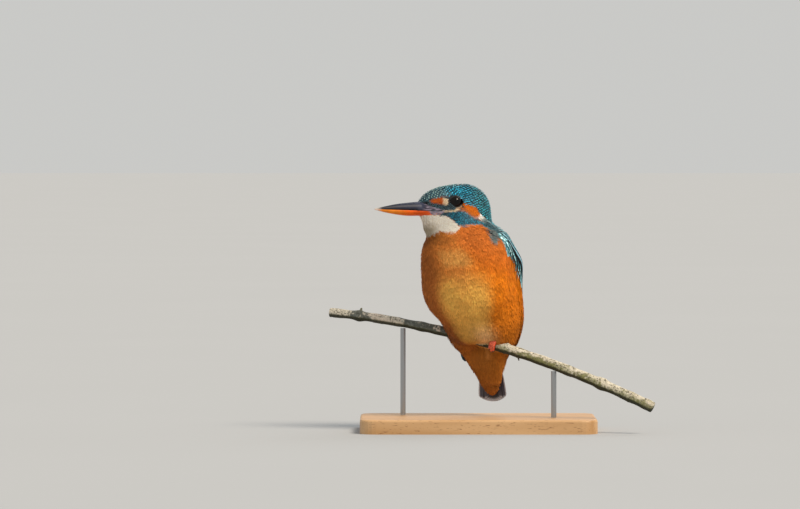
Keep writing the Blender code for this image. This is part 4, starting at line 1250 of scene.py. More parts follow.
def horn_colour(upper, t, round_share):
    """Colour of the bill's horn t along it, and round_share of the way from its ridge to its cutting edge,
    with a painted highlight along the top of the upper half.
    """
    pale = smooth(t, 0.88, 0.99)
    if upper:
        # painted highlight: the upper half lighter along its ridge, fading towards the tip
        ridge = smooth(-round_share, -0.40, -0.05) * smooth(-t, -0.8, -0.1)
        return mixed("#20263a", ("#626a86", ridge * 0.45), ("#141216", smooth(round_share, 0.86, 0.97)),
                     ("#444860", smooth(-t, -0.45, -0.3) * 0.35), ("#1c1e27", smooth(t, 0.55, 0.8) * 0.6),
                     ("#cfc3b6", pale * 0.85))
    return mixed("#e65f08", ("#ea8c20", smooth(t, 0.45, 0.75) * 0.8),
                 ("#cf4416", smooth(-t, -0.5, -0.3) * 0.5),
                 ("#c2420f", smooth(-round_share, -0.5, 0.0) * 0.4), ("#ecd3c4", pale * 0.9))


for name, upper in (("bill_upper", True), ("bill_lower", False)):
    points, t, round_share = bill_half(upper)
    ends = [points[0].mean(0), points[-1].mean(0) + [0.25, 0, 0]]
    points = np.vstack([points.reshape(-1, 3), ends])
    colour = horn_colour(upper, np.append(t, [0, 1]), np.append(round_share, [0.5, 0.5]))
    faces, flat_map = tube_faces(BILL_ROWS, BILL_COLUMNS)
    bill = build(
        f"horn_{name}", from_head(points), faces, horn, bake=flat_map,
        vane=flat_map[..., ::-1], colours={"Ground": colour},
    )
    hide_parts(name)

# %% The gape: bare horn that runs back along the face
GAPE_UPPER = ((22.6, 4.1), (19.6, 3.9), (16.9, 3.2), (14.4, 2.2), (11.8, 1.0), (9.4, 0.0), (7.4, -0.7))
GAPE_LOWER = (
    (22.6, -2.4), (19.8, -3.0), (17.4, -3.3), (15.0, -3.35), (12.4, -3.3), (10.4, -2.8), (8.4, -1.1)
)
GAPE_ROWS, GAPE_COLUMNS = 72, 34


def face_side(x, z, sign, proud):
    """How far aside the head's surface lies at x forward and z up in its axes, found by halving."""
    near, far = np.zeros(x.shape), np.full(x.shape, 20.0)
    for _ in range(HALVINGS + 2):
        y = (near + far) / 2
        inside = depth(from_head(np.stack([x, sign * y, z], axis=-1))) < proud
        near, far = np.where(inside, y, near), np.where(inside, far, y)
    return near


t = np.linspace(0, 1, GAPE_ROWS)
w = np.linspace(0, 1, GAPE_COLUMNS)[None, :]
high, low = along(GAPE_UPPER, t), along(GAPE_LOWER, t)
x = high[:, :1] * w + low[:, :1] * (1 - w)
z = high[:, 1:] * w + low[:, 1:] * (1 - w)
meet = GAPE_Z + (TIP_Z - GAPE_Z) * (x - BILL_BASE) / (BILL_TIP - BILL_BASE)
crease = np.exp(-(((z - meet) / 0.22) ** 2))
x_share = (x - BILL_BASE) / (BILL_TIP - BILL_BASE)
rise = np.where(z > meet, along(CULMEN, x_share) - meet, meet - along(GONYS, x_share))
power = np.where(z > meet, BILL_POWER[True], BILL_POWER[False])
lift = np.clip(np.abs(z - meet) / rise, 0, 1) ** (1 / power)
beside = along(BILL_HALF, x_share) * np.sqrt(1 - lift**2)
horny = np.where((z > meet)[..., None], *(horn_colour(upper, x_share, 1 - lift) for upper in (True, False)))
edges = smooth(w, 0, 0.10) * smooth(1 - w, 0, 0.10) * smooth(1 - t, 0, 0.10)[:, None]
sunk = (1 - edges) * smooth(t[:, None], 0.0, 0.3)
streak = smooth(wave(np.stack([x * 0.5, z * 2.4, z * 0], axis=-1), 1.0, 8), -0.2, 0.7)
fine = smooth(wave(np.stack([x * 0.9 + z, z * 3.0, z * 0], axis=-1), 0.6, 9), -0.2, 0.8)
upper_back = smooth(-x - 0.4 * z, -20.5, -17.5) * (z > meet)
lower_back = smooth(-x - 0.25 * (z - meet) ** 2, -16.6, -15.6) * (z <= meet)
colour = mixed(horny, ("#3a3440", upper_back * 0.85), ("#a99cb0", upper_back * streak * 0.75),
               ("#857a8c", lower_back), ("#cabdc4", lower_back * streak * 0.6),
               ("#3c3440", lower_back * fine * 0.6), ("#141012", crease * 0.9))
flat = np.stack(np.broadcast_arrays(t[:, None], w), axis=-1).reshape(-1, 2)
faces = grid_faces(GAPE_ROWS, GAPE_COLUMNS)
for side, sign in SIDES.items():
    skin_y = face_side(x, z, sign, 0.0) + 0.10
    soft = np.clip(0.5 + (skin_y - beside) / 1.6, 0, 1)
    y = beside * (1 - soft) + skin_y * soft + 0.8 * soft * (1 - soft) + 0.03 * smooth(t[:, None], 0, 0.1)
    y = y - 0.7 * sunk - 0.22 * crease * smooth(t[:, None], 0, 0.2)
    points = from_head(np.stack([x, sign * y, z], axis=-1)).reshape(-1, 3)
    build(
        f"gape_{side}", points, faces[:, ::sign], horn, vane=flat, bake=flat,
        colours={"Ground": colour.reshape(-1, 3)},
    )

# %% [markdown]
# ## Folded wings
# A folded wing is a stack: small spotted coverts at the bend, larger ones below them, then the long flight
# feathers that run to the tip, each laid a little inside the one above. A smooth shell gives the stack its
# body. It is the space between two copies of the body's volume, one grown by the wing's thickness. On it
# the coverts are leaves in rows, and each flight feather is a blade between two places on the shell.

# %% Wing shells
SHELL_ROWS, SHELL_COLUMNS = 90, 36
FEATHER_ROOM = 0.45  # of the wing's thickness, left for the feathers over the shell


def wing_point(side, t, across, proud):
    """A point of a folded wing: t from shoulder to tip, across from the lower edge to the upper one."""
    place = WING_ALONG + t * (WING_TIP[side] - WING_ALONG)
    low, high = along(WING_EDGE, t), along(WING_BACK, t)
    angle = SIDES[side] * np.radians(low + (high - low) * across)
    return surface(place, angle, proud=proud)


shell_finish = feather_finish("dark_wing_down", NEVER, Roughness=0.8)
t, w = np.meshgrid(np.linspace(0, 1, SHELL_ROWS), np.linspace(0, 1, SHELL_COLUMNS), indexing="ij")
rim = np.minimum.reduce([t / 0.14, (1 - t) / 0.03, w / 0.06, (1 - w) / 0.06]).clip(0, 1) ** 0.5
grid = np.arange(t.size).reshape(t.shape)
loop = np.concatenate([grid[0, :-1], grid[:-1, -1], grid[-1, :0:-1], grid[:0:-1, 0]])
after = np.roll(loop, -1)
wall = np.stack([loop, after, after + t.size, loop + t.size], axis=1)
faces = grid_faces(SHELL_ROWS, SHELL_COLUMNS)
faces = np.vstack([faces, faces[:, ::-1] + t.size, wall])
flat = np.stack([w.ravel(), t.ravel()], axis=-1) * [0.48, 0.98]
flat = np.vstack([flat, flat + [0.51, 0]])
colour = np.broadcast_to(linear("#0b1c23"), (2 * t.size, 3))
for side, sign in SIDES.items():
    outer = wing_point(side, t, w, GAP + (wing_bulge(t, w) - FEATHER_ROOM) * rim)
    inner = wing_point(side, t, w, np.full(t.shape, GAP - 0.05))
    shell = build(
        f"wing_shell_{side}", [outer, inner], faces[:, ::sign], shell_finish, vane=flat,
        bake=flat, colours={"Ground": colour, "Mark": colour},
    )
    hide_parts(f"wing_{side}", f"primaries_{side}")

# %% Wing coverts


def wing_share(roots, side):
    """t and across on a wing for roots, and True where they lie on it."""
    t, across, turn = wing_spot(roots["place"], roots["angle"])
    return t, across, (turn * SIDES[side] > 0) & (t > -0.01) & (t < 1) & (across > -0.02) & (across < 1.02)


covert_finish = feather_finish("spotted_wing_covert", (0.58, 0.70), NEVER, (0.35, 0.8), Roughness=0.5)
small = rooted(1.9, 2.0, 0.4, 31, reach=3.0)
large = rooted(3.3, 3.0, 0.2, 32, reach=5.0)
for side in SIDES:
    for name, roots, first, last, length, width, seed in (
        ("small_coverts", small, -0.01, 0.42, 4.6, 2.9, 33),
        ("large_coverts", large, 0.36, 0.60, 8.5, 4.3, 34),
    ):
        t, across, here = wing_share(roots, side)
        here &= (across < 0.23) | (across > 0.44) | (t < 0.06)  # between these lie the long coverts
        here &= (t > first) & (t < last) & (across < 0.98) & (roots["is_back"] > 0.4)
        some = chosen({**roots, "rim": smooth(-across, -0.30, -0.20)}, here)
        some["depth"] = np.full(len(some["v"]), 0.5)
        some = tinted(some, "#11414c", "#58b4c4")
        some = tinted(some, "#4793a0", "#acdadf", some["rim"])  # paler at the wing's front edge
        plumage_piece(
            f"{name}_{side}", mottled(some, 3.0, 0.4, seed), leaf_shape(), covert_finish,
            length, width, lift=0.22, seed=seed, tone=0.12, spread=0.15, camber=0.07, loose=0.03,
            root_share=0.6,
        )

# %% Flight feathers
BLADE_ROWS, BLADE_COLUMNS = 26, 9


def blade_shape(a, tip):
    """Half width share of a long feather: full for most of its length, with a rounded or pointed tip."""
    end = np.sqrt(np.clip(1 - ((a - tip) / (1.002 - tip)) ** 2, 0.003, 1))
    return np.where(a < tip, 1 - 0.35 * (1 - a / tip) ** 2, end)


def vane_piece(name, sheets, a, faces, item):
    """Long feathers as one piece. Each sheet of it has its points, its flat map, its b from one edge to the
    other, and two colours. They share a, the way along."""
    points, flats, across, grounds, marks = zip(*sheets)
    tints = {
        label: np.repeat([linear(code) for code in codes], a.size, axis=0)
        for label, codes in (("Ground", grounds), ("Mark", marks))
    }
    vane = np.vstack([np.stack([a.ravel(), b.ravel()], axis=-1) for b in across])
    build(name, points, faces, item, vane=vane, bake=fitted(np.concatenate(flats)), colours=tints)


def blades(name, side, rows, item):
    """Long feathers on a wing as one piece. Each row of rows says where a blade begins and ends, as t and
    across, its width in mm, its height over the shell, and two colours."""
    a, b = np.meshgrid(np.linspace(0, 1, BLADE_ROWS), np.linspace(-1, 1, BLADE_COLUMNS), indexing="ij")
    sheets = []
    for (t0, w0), (t1, w1), width, height, *tints in rows:
        t = t0 + (t1 - t0) * a
        middle = w0 + (w1 - w0) * (0.7 * a + 0.3 * a**2)
        place = WING_ALONG + t * (WING_TIP[side] - WING_ALONG)
        spread = np.radians(along(WING_BACK, t) - along(WING_EDGE, t))
        around = np.maximum(spread * 21.0 * (1 - 0.5 * smooth(place, 0.6, 1.0)), 3.0)
        w = middle + width / 2 * b * blade_shape(a, 0.86) / around
        rise = GAP + wing_bulge(np.clip(t, 0, 1), np.clip(w, 0, 1)) - FEATHER_ROOM + height
        rise = rise + 0.10 * np.exp(-((b / 0.14) ** 2)) * (1 - a) - 0.12 * b**2
        flat = np.stack([(0.5 * (w0 + w1) + 0.04 * b).ravel(), t.ravel()], axis=-1)
        sheets.append((wing_point(side, t, w, rise), flat, b, *tints))
    faces = repeat_faces(grid_faces(BLADE_ROWS, BLADE_COLUMNS)[:, :: SIDES[side]], len(rows), a.size)
    vane_piece(name, sheets, a, faces, item)


def edged_finish(name, edge, width, tip=2.0, **values):
    """A vane whose outer edge, b below edge, and end, a over tip, have the mark colour, with a dark shaft
    and slanting barbs."""
    made, tree, shader = finish(name, **values)
    run, across, aside = vane_map(tree)
    limits = {"Value": across, "From Min": edge, "From Max": edge + width, "To Min": 1.0, "To Max": 0.0}
    share = add(tree, "MapRange", limits, **EASED)
    limits = {"Value": run, "From Min": tip, "From Max": tip + 0.08}
    end = add(tree, "MapRange", limits, **EASED)
    share = add(tree, "Math", {0: share, 1: end}, operation="MAXIMUM")
    limits = {"Value": aside, "From Min": 0.02, "From Max": 0.07, "To Min": 0.45}
    shaft = add(tree, "MapRange", limits, **EASED)
    slant = add(tree, "Math", {0: aside, 1: -0.35, 2: run}, operation="MULTIPLY_ADD")
    barb_map = add(tree, "CombineXYZ", {"X": slant, "Y": aside})
    stretched = add(tree, "VectorMath", {0: barb_map, 1: (70.0, 3.0, 1.0)}, operation="MULTIPLY")
    inputs = {0: add(tree, "TexCoord").outputs["Object"], 1: (90.0, 90.0, 90.0), 2: stretched}
    shifted = add(tree, "VectorMath", inputs, operation="MULTIPLY_ADD")
    barbs = add(tree, "TexNoise", {"Vector": shifted, "Scale": 1.0, "Detail": 2.0})
    dress_vane(tree, shader, share, barbs, shaft, (0.72, 1.2), 0.3)
    return made


flight_finish = edged_finish("edged_flight_feather", -0.62, 0.22, Roughness=0.5, Specular_IOR_Level=0.3)
long_finish = edged_finish("dark_long_covert", -0.15, 0.25, Roughness=0.65, Specular_IOR_Level=0.15)
PRIMARIES, SECONDARIES, SCAPULARS = 9, 10, 7
TIP_STAND = {"left": 0.0, "right": 2.6}  # mm that the primaries' tips stand off the body

long_coverts = []
# the first row is near black, ground and tip alike: a painted shadow of the gap between the coverts and the
# scapulars
for i, colours in enumerate((("#0e1216", "#0e1216"), ("#11181f", "#8cbccf"), ("#131c24", "#1f3440"))):
    for k in range(3):  # they overlap like tiles, three to a row
        start = 0.02 + 0.19 * k, 0.25 + 0.08 * i - 0.02 * k
        end = 0.34 + 0.19 * k, 0.28 + 0.08 * i - 0.03 * k
        long_coverts.append((start, end, 2.3 + 0.3 * i, 0.50 + 0.16 * i + 0.05 * (2 - k), *colours))
scapulars = []
for i in range(SCAPULARS):  # from the shoulder over the wing's upper half
    k = i / (SCAPULARS - 1)
    start, end = (0.02 + 0.05 * (i % 2), 0.46 + 0.48 * k), (0.42 + 0.10 * k, 0.50 + 0.46 * k)
    scapulars.append((start, end, 5.6, 0.55 + 0.05 * i, "#123c46", "#2c8c9e" if i else "#7fb2c2"))
secondaries = []
for i in range(SECONDARIES):  # over the primaries' bases
    k = i / (SECONDARIES - 1)
    start, end = (0.40, 0.16 + 0.70 * k), (0.66 + 0.12 * k - 0.10 * k * k, 0.20 + 0.66 * k)
    secondaries.append((start, end, 5.4, 0.36 + 0.03 * i, "#14262c", "#2f8ea6"))
for side in SIDES:
    primaries = []
    for i in range(PRIMARIES):  # the lowest is the outermost and longest
        k = i / (PRIMARIES - 1)
        start, end = (0.42 + 0.02 * i, 0.08 + 0.40 * k), (1.0 - 0.12 * k, 0.30 + 0.12 * k)
        height = 0.02 + 0.035 * i + TIP_STAND[side] * np.linspace(0, 1, BLADE_ROWS)[:, None] ** 2
        primaries.append((start, end, 5.0, height, "#131f26", "#2a6f86"))
    blades(f"flight_feathers_{side}", side, primaries + secondaries, flight_finish)
    blades(f"scapulars_{side}", side, scapulars, flight_finish)
    blades(f"long_coverts_{side}", side, long_coverts, long_finish)

# %% [markdown]
# ## Back, rump and tail
# Between the wings runs the brightest part of the bird, a stripe of pale azure from the mantle to the tail.
# Its feathers are loose, so it looks like frosted glass. The twelve tail feathers are short: cobalt above,
# dusky below. Below them lie long rusty coverts.

# %% Mantle, bright stripe and undertail
roots = rooted(2.1, 2.2, 0.3, 41, reach=3.2)
beside = (roots["cover"] < 0.25) & (roots["v"] < 0.945) & (strongest(roots, ALL_MARKS) < 0.5)
plumage_piece(
    "mantle_feathers", chosen(roots, beside & (roots["is_back"] > 0.5) & (roots["is_azure"] < 0.5)),
    leaf_shape(), vane_finish, 5.2, 3.2, lift=0.25, seed=42, tone=0.14, spread=0.15,
    loose=0.04,
)
roots = rooted(1.6, 1.7, 0.4, 43, reach=4.0)
unmarked = strongest(roots, ALL_MARKS) < 0.5
stripe = chosen(roots, (roots["is_azure"] >= 0.5) & (roots["v"] < 0.955) & unmarked)
plumage_piece(
    "back_stripe_plumes", stripe, SOFT_BRUSH, loose_finish, 6.5, 2.8, lift=0.45, seed=44,
    tone=0.12, curl=0.14,
)
roots = rooted(1.7, 1.6, 0.4, 45, reach=4.5)
rear = chosen(roots, (roots["place"] > 0.82) & (roots["is_azure"] < 0.5) & (from_perch(roots["point"]) > 0.2))
rear = chosen(rear, (rear["v"] < 0.994) & (rear["cover"] < 0.3) & (rear["is_back"] < 0.5))
plumage_piece(  # the last ones are short, so that no tip runs through the tail
    "undertail_coverts", rear, SOFT_BRUSH, loose_finish,
    7.0 - 4.5 * smooth(rear["v"], 0.945, 0.972), 3.1, lift=0.35, seed=46, curl=0.14,
)

# %% Tail feathers
TAIL_ROOT, TAIL_TIP = np.array([-15.0, -0.4, -12.0]), np.array([-18.0, -1.45, -36.2])
TAIL_ROOT_HALF, TAIL_TIP_HALF, TAIL_ARCH, TAIL_ROUNDING = 6.1, 8.7, 1.3, 3.4
TAIL_WIDTH, TAIL_COUNT, TAIL_ROWS, TAIL_COLUMNS = 5.8, 12, 30, 11

a, b = np.meshgrid(np.linspace(0, 1, TAIL_ROWS), np.linspace(-1, 1, TAIL_COLUMNS), indexing="ij")
sheets = []
for i in range(TAIL_COUNT):
    k = (i - (TAIL_COUNT - 1) / 2) / ((TAIL_COUNT - 1) / 2)
    middle = TAIL_ROOT + (TAIL_TIP - TAIL_ROOT) * a[..., None]
    reach = TAIL_ROOT_HALF + (TAIL_TIP_HALF - TAIL_ROOT_HALF) * np.sin(a * math.pi / 2) - TAIL_WIDTH / 2 + 0.1
    y = k * reach + TAIL_WIDTH / 2 * b * blade_shape(a, 0.87)
    x = TAIL_ARCH * (y / TAIL_TIP_HALF) ** 2 + 0.55 * abs(k) - 0.35 - 0.10 * np.exp(-((b / 0.12) ** 2))
    z = TAIL_ROUNDING * (1 - math.sqrt(1 - 0.80 * k**2)) * a**4
    below = "#464a5c" if abs(k) > 0.9 else "#2a2b38"  # the outermost feather is paler below
    for face, ground, mark in ((1, below, "#c0c3d0"), (-1, "#1c55b0", "#3f93e0")):
        flat = np.stack([(k + 0.10 * b).ravel() + 1.3 * (1 + face), a.ravel()], axis=-1)
        points = middle + np.stack([x + 0.06 * face, y, z], axis=-1)
        outer = b if len(sheets) < TAIL_COUNT else -b  # the narrow vane of a feather lies outside
        sheets.append((points, flat, outer, ground, mark))
faces = grid_faces(TAIL_ROWS, TAIL_COLUMNS)
pair = np.vstack([faces, faces[:, ::-1] + a.size])  # a feather's lower sheet and its upper one
tail_finish = edged_finish("dusky_tail_feather", -0.84, 0.16, tip=0.91, Roughness=0.5)
pair = repeat_faces(pair, TAIL_COUNT, 2 * a.size)
vane_piece("tail_fan", sheets, a, pair, tail_finish)

# %% [markdown]
# ## Bark, scales and claws
# The perch and the toes are tubes: a ring carried along a path, with its radius changed from point to
# point. Bark relief is lattice noise: random heights at whole-number corners, eased between them, summed at
# a few sizes. The same noise says where a crust of lichen has grown, and the crust lifts the surface.

# %% Noise and tubes


def lattice(points, seed):
    """Noise from -1 to 1: a hash of each corner of the unit cube around a point, mixed by closeness."""
    cell = np.floor(points).astype(np.int64)
    part = points - cell
    part = part * part * (3 - 2 * part)
    total = np.zeros(points.shape[:-1])
    for corner in np.ndindex(2, 2, 2):
        key = (cell + corner) @ np.array([374761393, 668265263, 1274126177]) + seed * 974711
        key = ((key & 0xFFFFFFFF) ^ ((key & 0xFFFFFFFF) >> 13)) * 1274126177 & 0xFFFFFFFF
        value = ((key ^ (key >> 16)) & 0xFFFF) / 32767.5 - 1
        total = total + value * np.where(corner, part, 1 - part).prod(-1)
    return total


def crumble(points, size, seed, octaves=3):
    """Lattice noise with features of size mm and of half, a quarter and so on of it."""
    return sum(lattice(points / size * 2**k + 7.3 * k, seed + k) / 2**k for k in range(octaves)) / 1.6


def whole_turn(count):
    """count even angles round a circle, from 0."""
    return 2 * math.pi * np.arange(count) / count


def pipe_points(path, radii, columns, side):
    """Rings round a path, then its two end points. Each ring starts on the side given. radii is one value
    for each ring, or one for each point."""
    run = unit(np.gradient(path, axis=0))
    first = unit(side - (run @ side)[:, None] * run)
    ring = turned(first[:, None], np.cross(first, run)[:, None], whole_turn(columns))
    radii = radii[:, None] if radii.ndim == 1 else radii
    return np.vstack([(path[:, None] + radii[..., None] * ring).reshape(-1, 3), path[:1], path[-1:]])


def joined(pieces):
    """Several pieces, each (points, faces, map, colour), as one."""
    points, faces, flats, colours = zip(*pieces)
    starts = np.cumsum([0] + [len(some) for some in points])
    faces = np.vstack([some + start for some, start in zip(faces, starts)])
    share = 1 / len(pieces)
    flat = np.vstack([some * [1, share * 0.96] + [0, share * k] for k, some in enumerate(flats)])
    return np.vstack(points), faces, flat, np.vstack(colours)


def capped(colour, first, last):
    """Colours of a tube's rings, then the hex colours of its two end points."""
    return np.vstack([colour.reshape(-1, 3), linear(first)[None], linear(last)[None]])


# %% Perch
BARK_ROWS, BARK_COLUMNS = 760, 72
CRUST_AT = (-83, -75, -69, -63.5, -58, -46, -41, -22, -8, 8, 16, 30, 48, 62, 96)
CRUST = (0.85, 0.75, -0.35, -0.30, 1.2, 1.1, -0.45, -0.35, -0.1, 0.2, 0.7, 0.3, 0.5, 0.3, 0.45)
END_SCALES = np.array([0.04, 0.2, 0.36, 0.52, 0.68, 0.82, 0.93, 0.985])
HOLLOWS = ((67.6, 0.35, 0.9), (15.3, 0.1, 0.5), (93.0, 0.5, 0.7), (44.0, 1.1, 0.4))  # along, round, size
TWIGS = ((-66.5, 4.6, 1.0, "#7d7c68"), (21.6, -4.9, 0.6, "#3a3024"))  # along, rise, size, colour
TWIG_ROWS, TWIG_COLUMNS = 30, 20
GIRTH = 2.8  # the branch's mean radius, for patterns that run round it

bark, tree, shader = finish("branch_bark_with_lichen", Roughness=0.92)
spot = add(tree, "TexCoord").outputs["Object"]
inputs = {"Vector": spot, "Scale": 1900.0, "Detail": 5.0, "Roughness": 0.65}
grain = add(tree, "TexNoise", inputs)
cells = add(tree, "TexVoronoi", {"Vector": spot, "Scale": 1500.0})
inputs = {"Value": grain, "From Min": 0.3, "From Max": 0.7, "To Min": 0.62, "To Max": 1.3}
tone = add(tree, "MapRange", inputs)
both = add(tree, "Math", {0: grain, 1: cells}, operation="ADD")
dress(tree, shader, None, tone, both, 0.7, 0.0002)

inner = 1 - END_SCALES
x = np.linspace(PERCH_LEFT, PERCH_RIGHT, BARK_ROWS)
x = np.concatenate([PERCH_LEFT + 0.07 * inner, x, PERCH_RIGHT - 0.07 * inner[::-1]])
scale = np.concatenate([END_SCALES, np.ones(BARK_ROWS), END_SCALES[::-1]])
path = perch_point(x) + 1e-4 * np.arange(len(x))[:, None] * [1, 0, 0]
turn = whole_turn(BARK_COLUMNS)
raw = np.stack(np.broadcast_arrays(x[:, None], GIRTH * np.cos(turn), GIRTH * np.sin(turn)), axis=-1)

# %% The bark's relief
fissures = crumble(raw * [0.22, 1, 1], 0.9, 51)
warts = smooth(crumble(raw, 0.8, 52, 2), 0.25, 0.8)
patches = crumble(raw * [0.7, 1, 1], 3.2, 53)
edges = 0.8 * crumble(raw, 1.0, 60)
spread = np.interp(x[:, None] + 1.6 * np.sin(turn), CRUST_AT, CRUST) + 0.8 * patches + edges
crust = smooth(spread + 0.4 * np.cos(turn), 0.1, 0.6)
crust_relief = 0.55 + 0.45 * crumble(raw, 0.55, 54, 2)
hollow, rim = np.zeros(crust.shape), np.zeros(crust.shape)
for at, around, wide in HOLLOWS:
    aside = GIRTH * ((turn - around + math.pi) % (2 * math.pi) - math.pi)
    gap = np.hypot((x[:, None] - at) / 1.3, aside) / wide
    hollow += np.exp(-(gap**2))
    rim += np.exp(-(((gap - 1.5) / 0.5) ** 2))
relief = 0.10 * fissures - 0.07 * smooth(-fissures, 0.3, 0.9) + 0.10 * warts + 0.16 * crust * crust_relief
relief = relief - 0.55 * hollow + 0.28 * rim - 0.08
radii = (perch_radius(x)[:, None] + relief * smooth(scale, 0.9, 1.0)[:, None]) * scale[:, None]
points = pipe_points(path, radii, BARK_COLUMNS, np.array([0, 0, 1.0]))
print("bark relief, mm:", round(float(relief.min()), 2), "to", round(float(relief.max()), 2))

# %% The bark's colours, the cut ends and the twigs
# painted shade: the branch's underside (below) is laid on as olive, then near black
below = smooth(-np.cos(turn + 0.1) + 0.12 * crumble(raw, 1.3, 61), 0.0, 0.42)
mottle = crumble(raw, 1.6, 55)
pink = smooth(crumble(raw * [0.5, 1, 1], 6.0, 56) + 0.25 * smooth(x, 40, 90)[:, None], 0.0, 0.7)
green = smooth(crumble(raw * [0.6, 1, 1], 3.0, 57) + 0.7 * smooth(-np.cos(turn), -0.8, 0.0), 0.1, 0.8)
speck = smooth(crumble(raw, 0.62, 58, 2), 0.12, 0.34)
right = smooth(x, -12, 14)[:, None]
cut = smooth(-scale, -0.975, -0.95)[:, None]
rings = 0.5 + 0.5 * np.sin(scale * 26 + 1)[:, None]
# painted shade: darker in the fissures and near black in the hollows
colour = mixed(
    "#5f625b", ("#85877f", smooth(mottle, -0.1, 0.6) * 0.6), ("#8b865f", right * 0.8),
    ("#d6cebb", crust * 0.88), ("#c9b0a4", crust * pink * 0.4), ("#7d8046", green * right * 0.5),
    ("#e9e2d2", crust * smooth(mottle, 0.1, 0.7) * 0.55), ("#34301f", speck * (0.35 + 0.45 * crust)),
    ("#3a3529", smooth(-fissures, 0.3, 0.8) * 0.7), ("#565a2c", smooth(below, 0.0, 0.5) * 0.6),
    ("#1f2014", below * 0.88), ("#1f1a15", np.clip(hollow, 0, 1) * 0.9),
    ("#e2d8bb", np.clip(rim, 0, 1) * 0.5), ("#c8ab7e", cut), ("#8f6f48", cut * rings * 0.5),
)
pieces = [(points, *tube_faces(len(x), BARK_COLUMNS), capped(colour, "#7d5f3e", "#7d5f3e"))]
s = np.linspace(0, 1, TWIG_ROWS)
for at, rise, size, code in TWIGS:
    path = perch_point(at) + s[:, None] * [0.25 * abs(rise), 0, rise]
    round_off = np.sqrt(np.clip((1.0 - s) / 0.10, 0.03, 1))
    girth = size * (1.5 - 1.05 * s) * round_off * (1 + 0.06 * np.sin(s * 22))
    points = pipe_points(path, girth, TWIG_COLUMNS, np.array([1.0, 0, 0]))
    grain = crumble(points * [1, 1, 0.5], 0.8, 59)
    layers = ("#c9bf9f", smooth(grain, 0.0, 0.6) * 0.6), ("#2a221a", smooth(-grain, 0.1, 0.6) * 0.6)
    pieces.append((points, *tube_faces(TWIG_ROWS, TWIG_COLUMNS), mixed(code, *layers)))
points, faces, flat, colour = joined(pieces)
branch = build(
    "branch", points, faces, bark, bake=flat, colours={"Ground": colour}, in_bird=False
)
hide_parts("perch")

# %% Feet
FOOT_SPREAD, TOE_RADIUS, TOE_LIFT = 9.2, 0.82, 0.45
TOES = {"inner": (-1.15, 144), "middle": (0.05, 166), "outer": (1.1, 154), "hind": (0.0, -118)}
TOE_ROWS, TOE_COLUMNS, TOE_PLATES, PLATE_HEIGHT = 60, 18, 17, 0.07
CLAW_ROWS, CLAW_COLUMNS = 26, 12
SHIN_UP, SHIN_BACK, SHIN_ROWS, SHIN_COLUMNS = 7.0, 2.5, 60, 20

scales, tree, shader = finish(
    "scaly_toe_skin", Roughness=0.42, Subsurface_Weight=0.08, Subsurface_Scale=0.001
)
inputs = {"Vector": add(tree, "TexCoord").outputs["Object"], "Scale": 1900.0}
plates = add(tree, "TexVoronoi", inputs, feature="DISTANCE_TO_EDGE")
grooves = add(tree, "MapRange", {"Value": plates, "From Max": 0.12, "To Min": 0.62})
dress(tree, shader, None, grooves, grooves)
claw_horn, tree, shader = finish("claw_horn", Roughness=0.3)
dress(tree, shader)


def foot_path(foot, reach, offset, turn, share):
    """A path round the perch: reach mm from its line, turn degrees round from above, and up to offset along
    it, more where share is near 1. Also the directions out from the perch there."""
    middle, run, ahead, up = foot
    out = turned(up, ahead, np.radians(turn))
    return middle + reach[:, None] * out + (offset * (0.35 + 0.65 * np.sqrt(share)))[:, None] * run, out


def plate_lines(saw):
    """1 in the groove between two plates, where saw starts again from 0."""
    return np.exp(-(((saw - 0.03) / 0.10) ** 2))[:, None]


def toe_piece(foot, reach, offset, sweep):
    """A toe: a tube that narrows to its claw. A saw curve steps its upper side into plates, and a cosine
    swells its underside into pads."""
    t = np.linspace(0, 0.87, TOE_ROWS)
    path, out = foot_path(foot, reach + 0.04 * np.cos(t * 20), offset, sweep * t, t)
    upper = np.cos(whole_turn(TOE_COLUMNS))
    saw = (t * TOE_PLATES) % 1.0
    step = PLATE_HEIGHT * (1 - saw)[:, None]
    pads = 0.07 * np.cos(t * 2 * math.pi * 3.4)[:, None] * np.clip(-upper, 0, 1)
    girth = np.interp(t, [0, 0.3, 0.62, 0.78, 0.87], [1.05, 1.0, 0.95, 0.85, 0.62])
    girth = (girth * np.sqrt(np.clip((0.8705 - t) / 0.06, 0.002, 1)))[:, None]
    radii = girth * (0.97 + step * np.clip(upper, 0, 1) + pads)
    points = pipe_points(path, radii, TOE_COLUMNS, foot[3])
    rings = points[:-2].reshape(TOE_ROWS, TOE_COLUMNS, 3)
    toward = ((rings - path[:, None]) * out[:, None]).sum(-1) / np.maximum(radii, 0.05)
    rings += out[:, None] * (step * np.clip(toward, 0, 1) * girth)[..., None]
    line = plate_lines(saw) * smooth(toward, -0.1, 0.5)
    # painted highlight: paler on the side turned away from the perch; painted shade: darker on the side
    # against it
    colour = mixed(
        "#ee4a22", ("#f8916a", (1 - line) * smooth(toward, 0.3, 1) * 0.45), ("#8e2412", line * 0.7),
        ("#a83318", smooth(-toward, 0.1, 0.8) * 0.6), ("#8a2a18", smooth(t, 0.78, 0.86)[:, None] * 0.5),
    )
    return points, *tube_faces(TOE_ROWS, TOE_COLUMNS), capped(colour, "#e4502a", "#8a2a18")


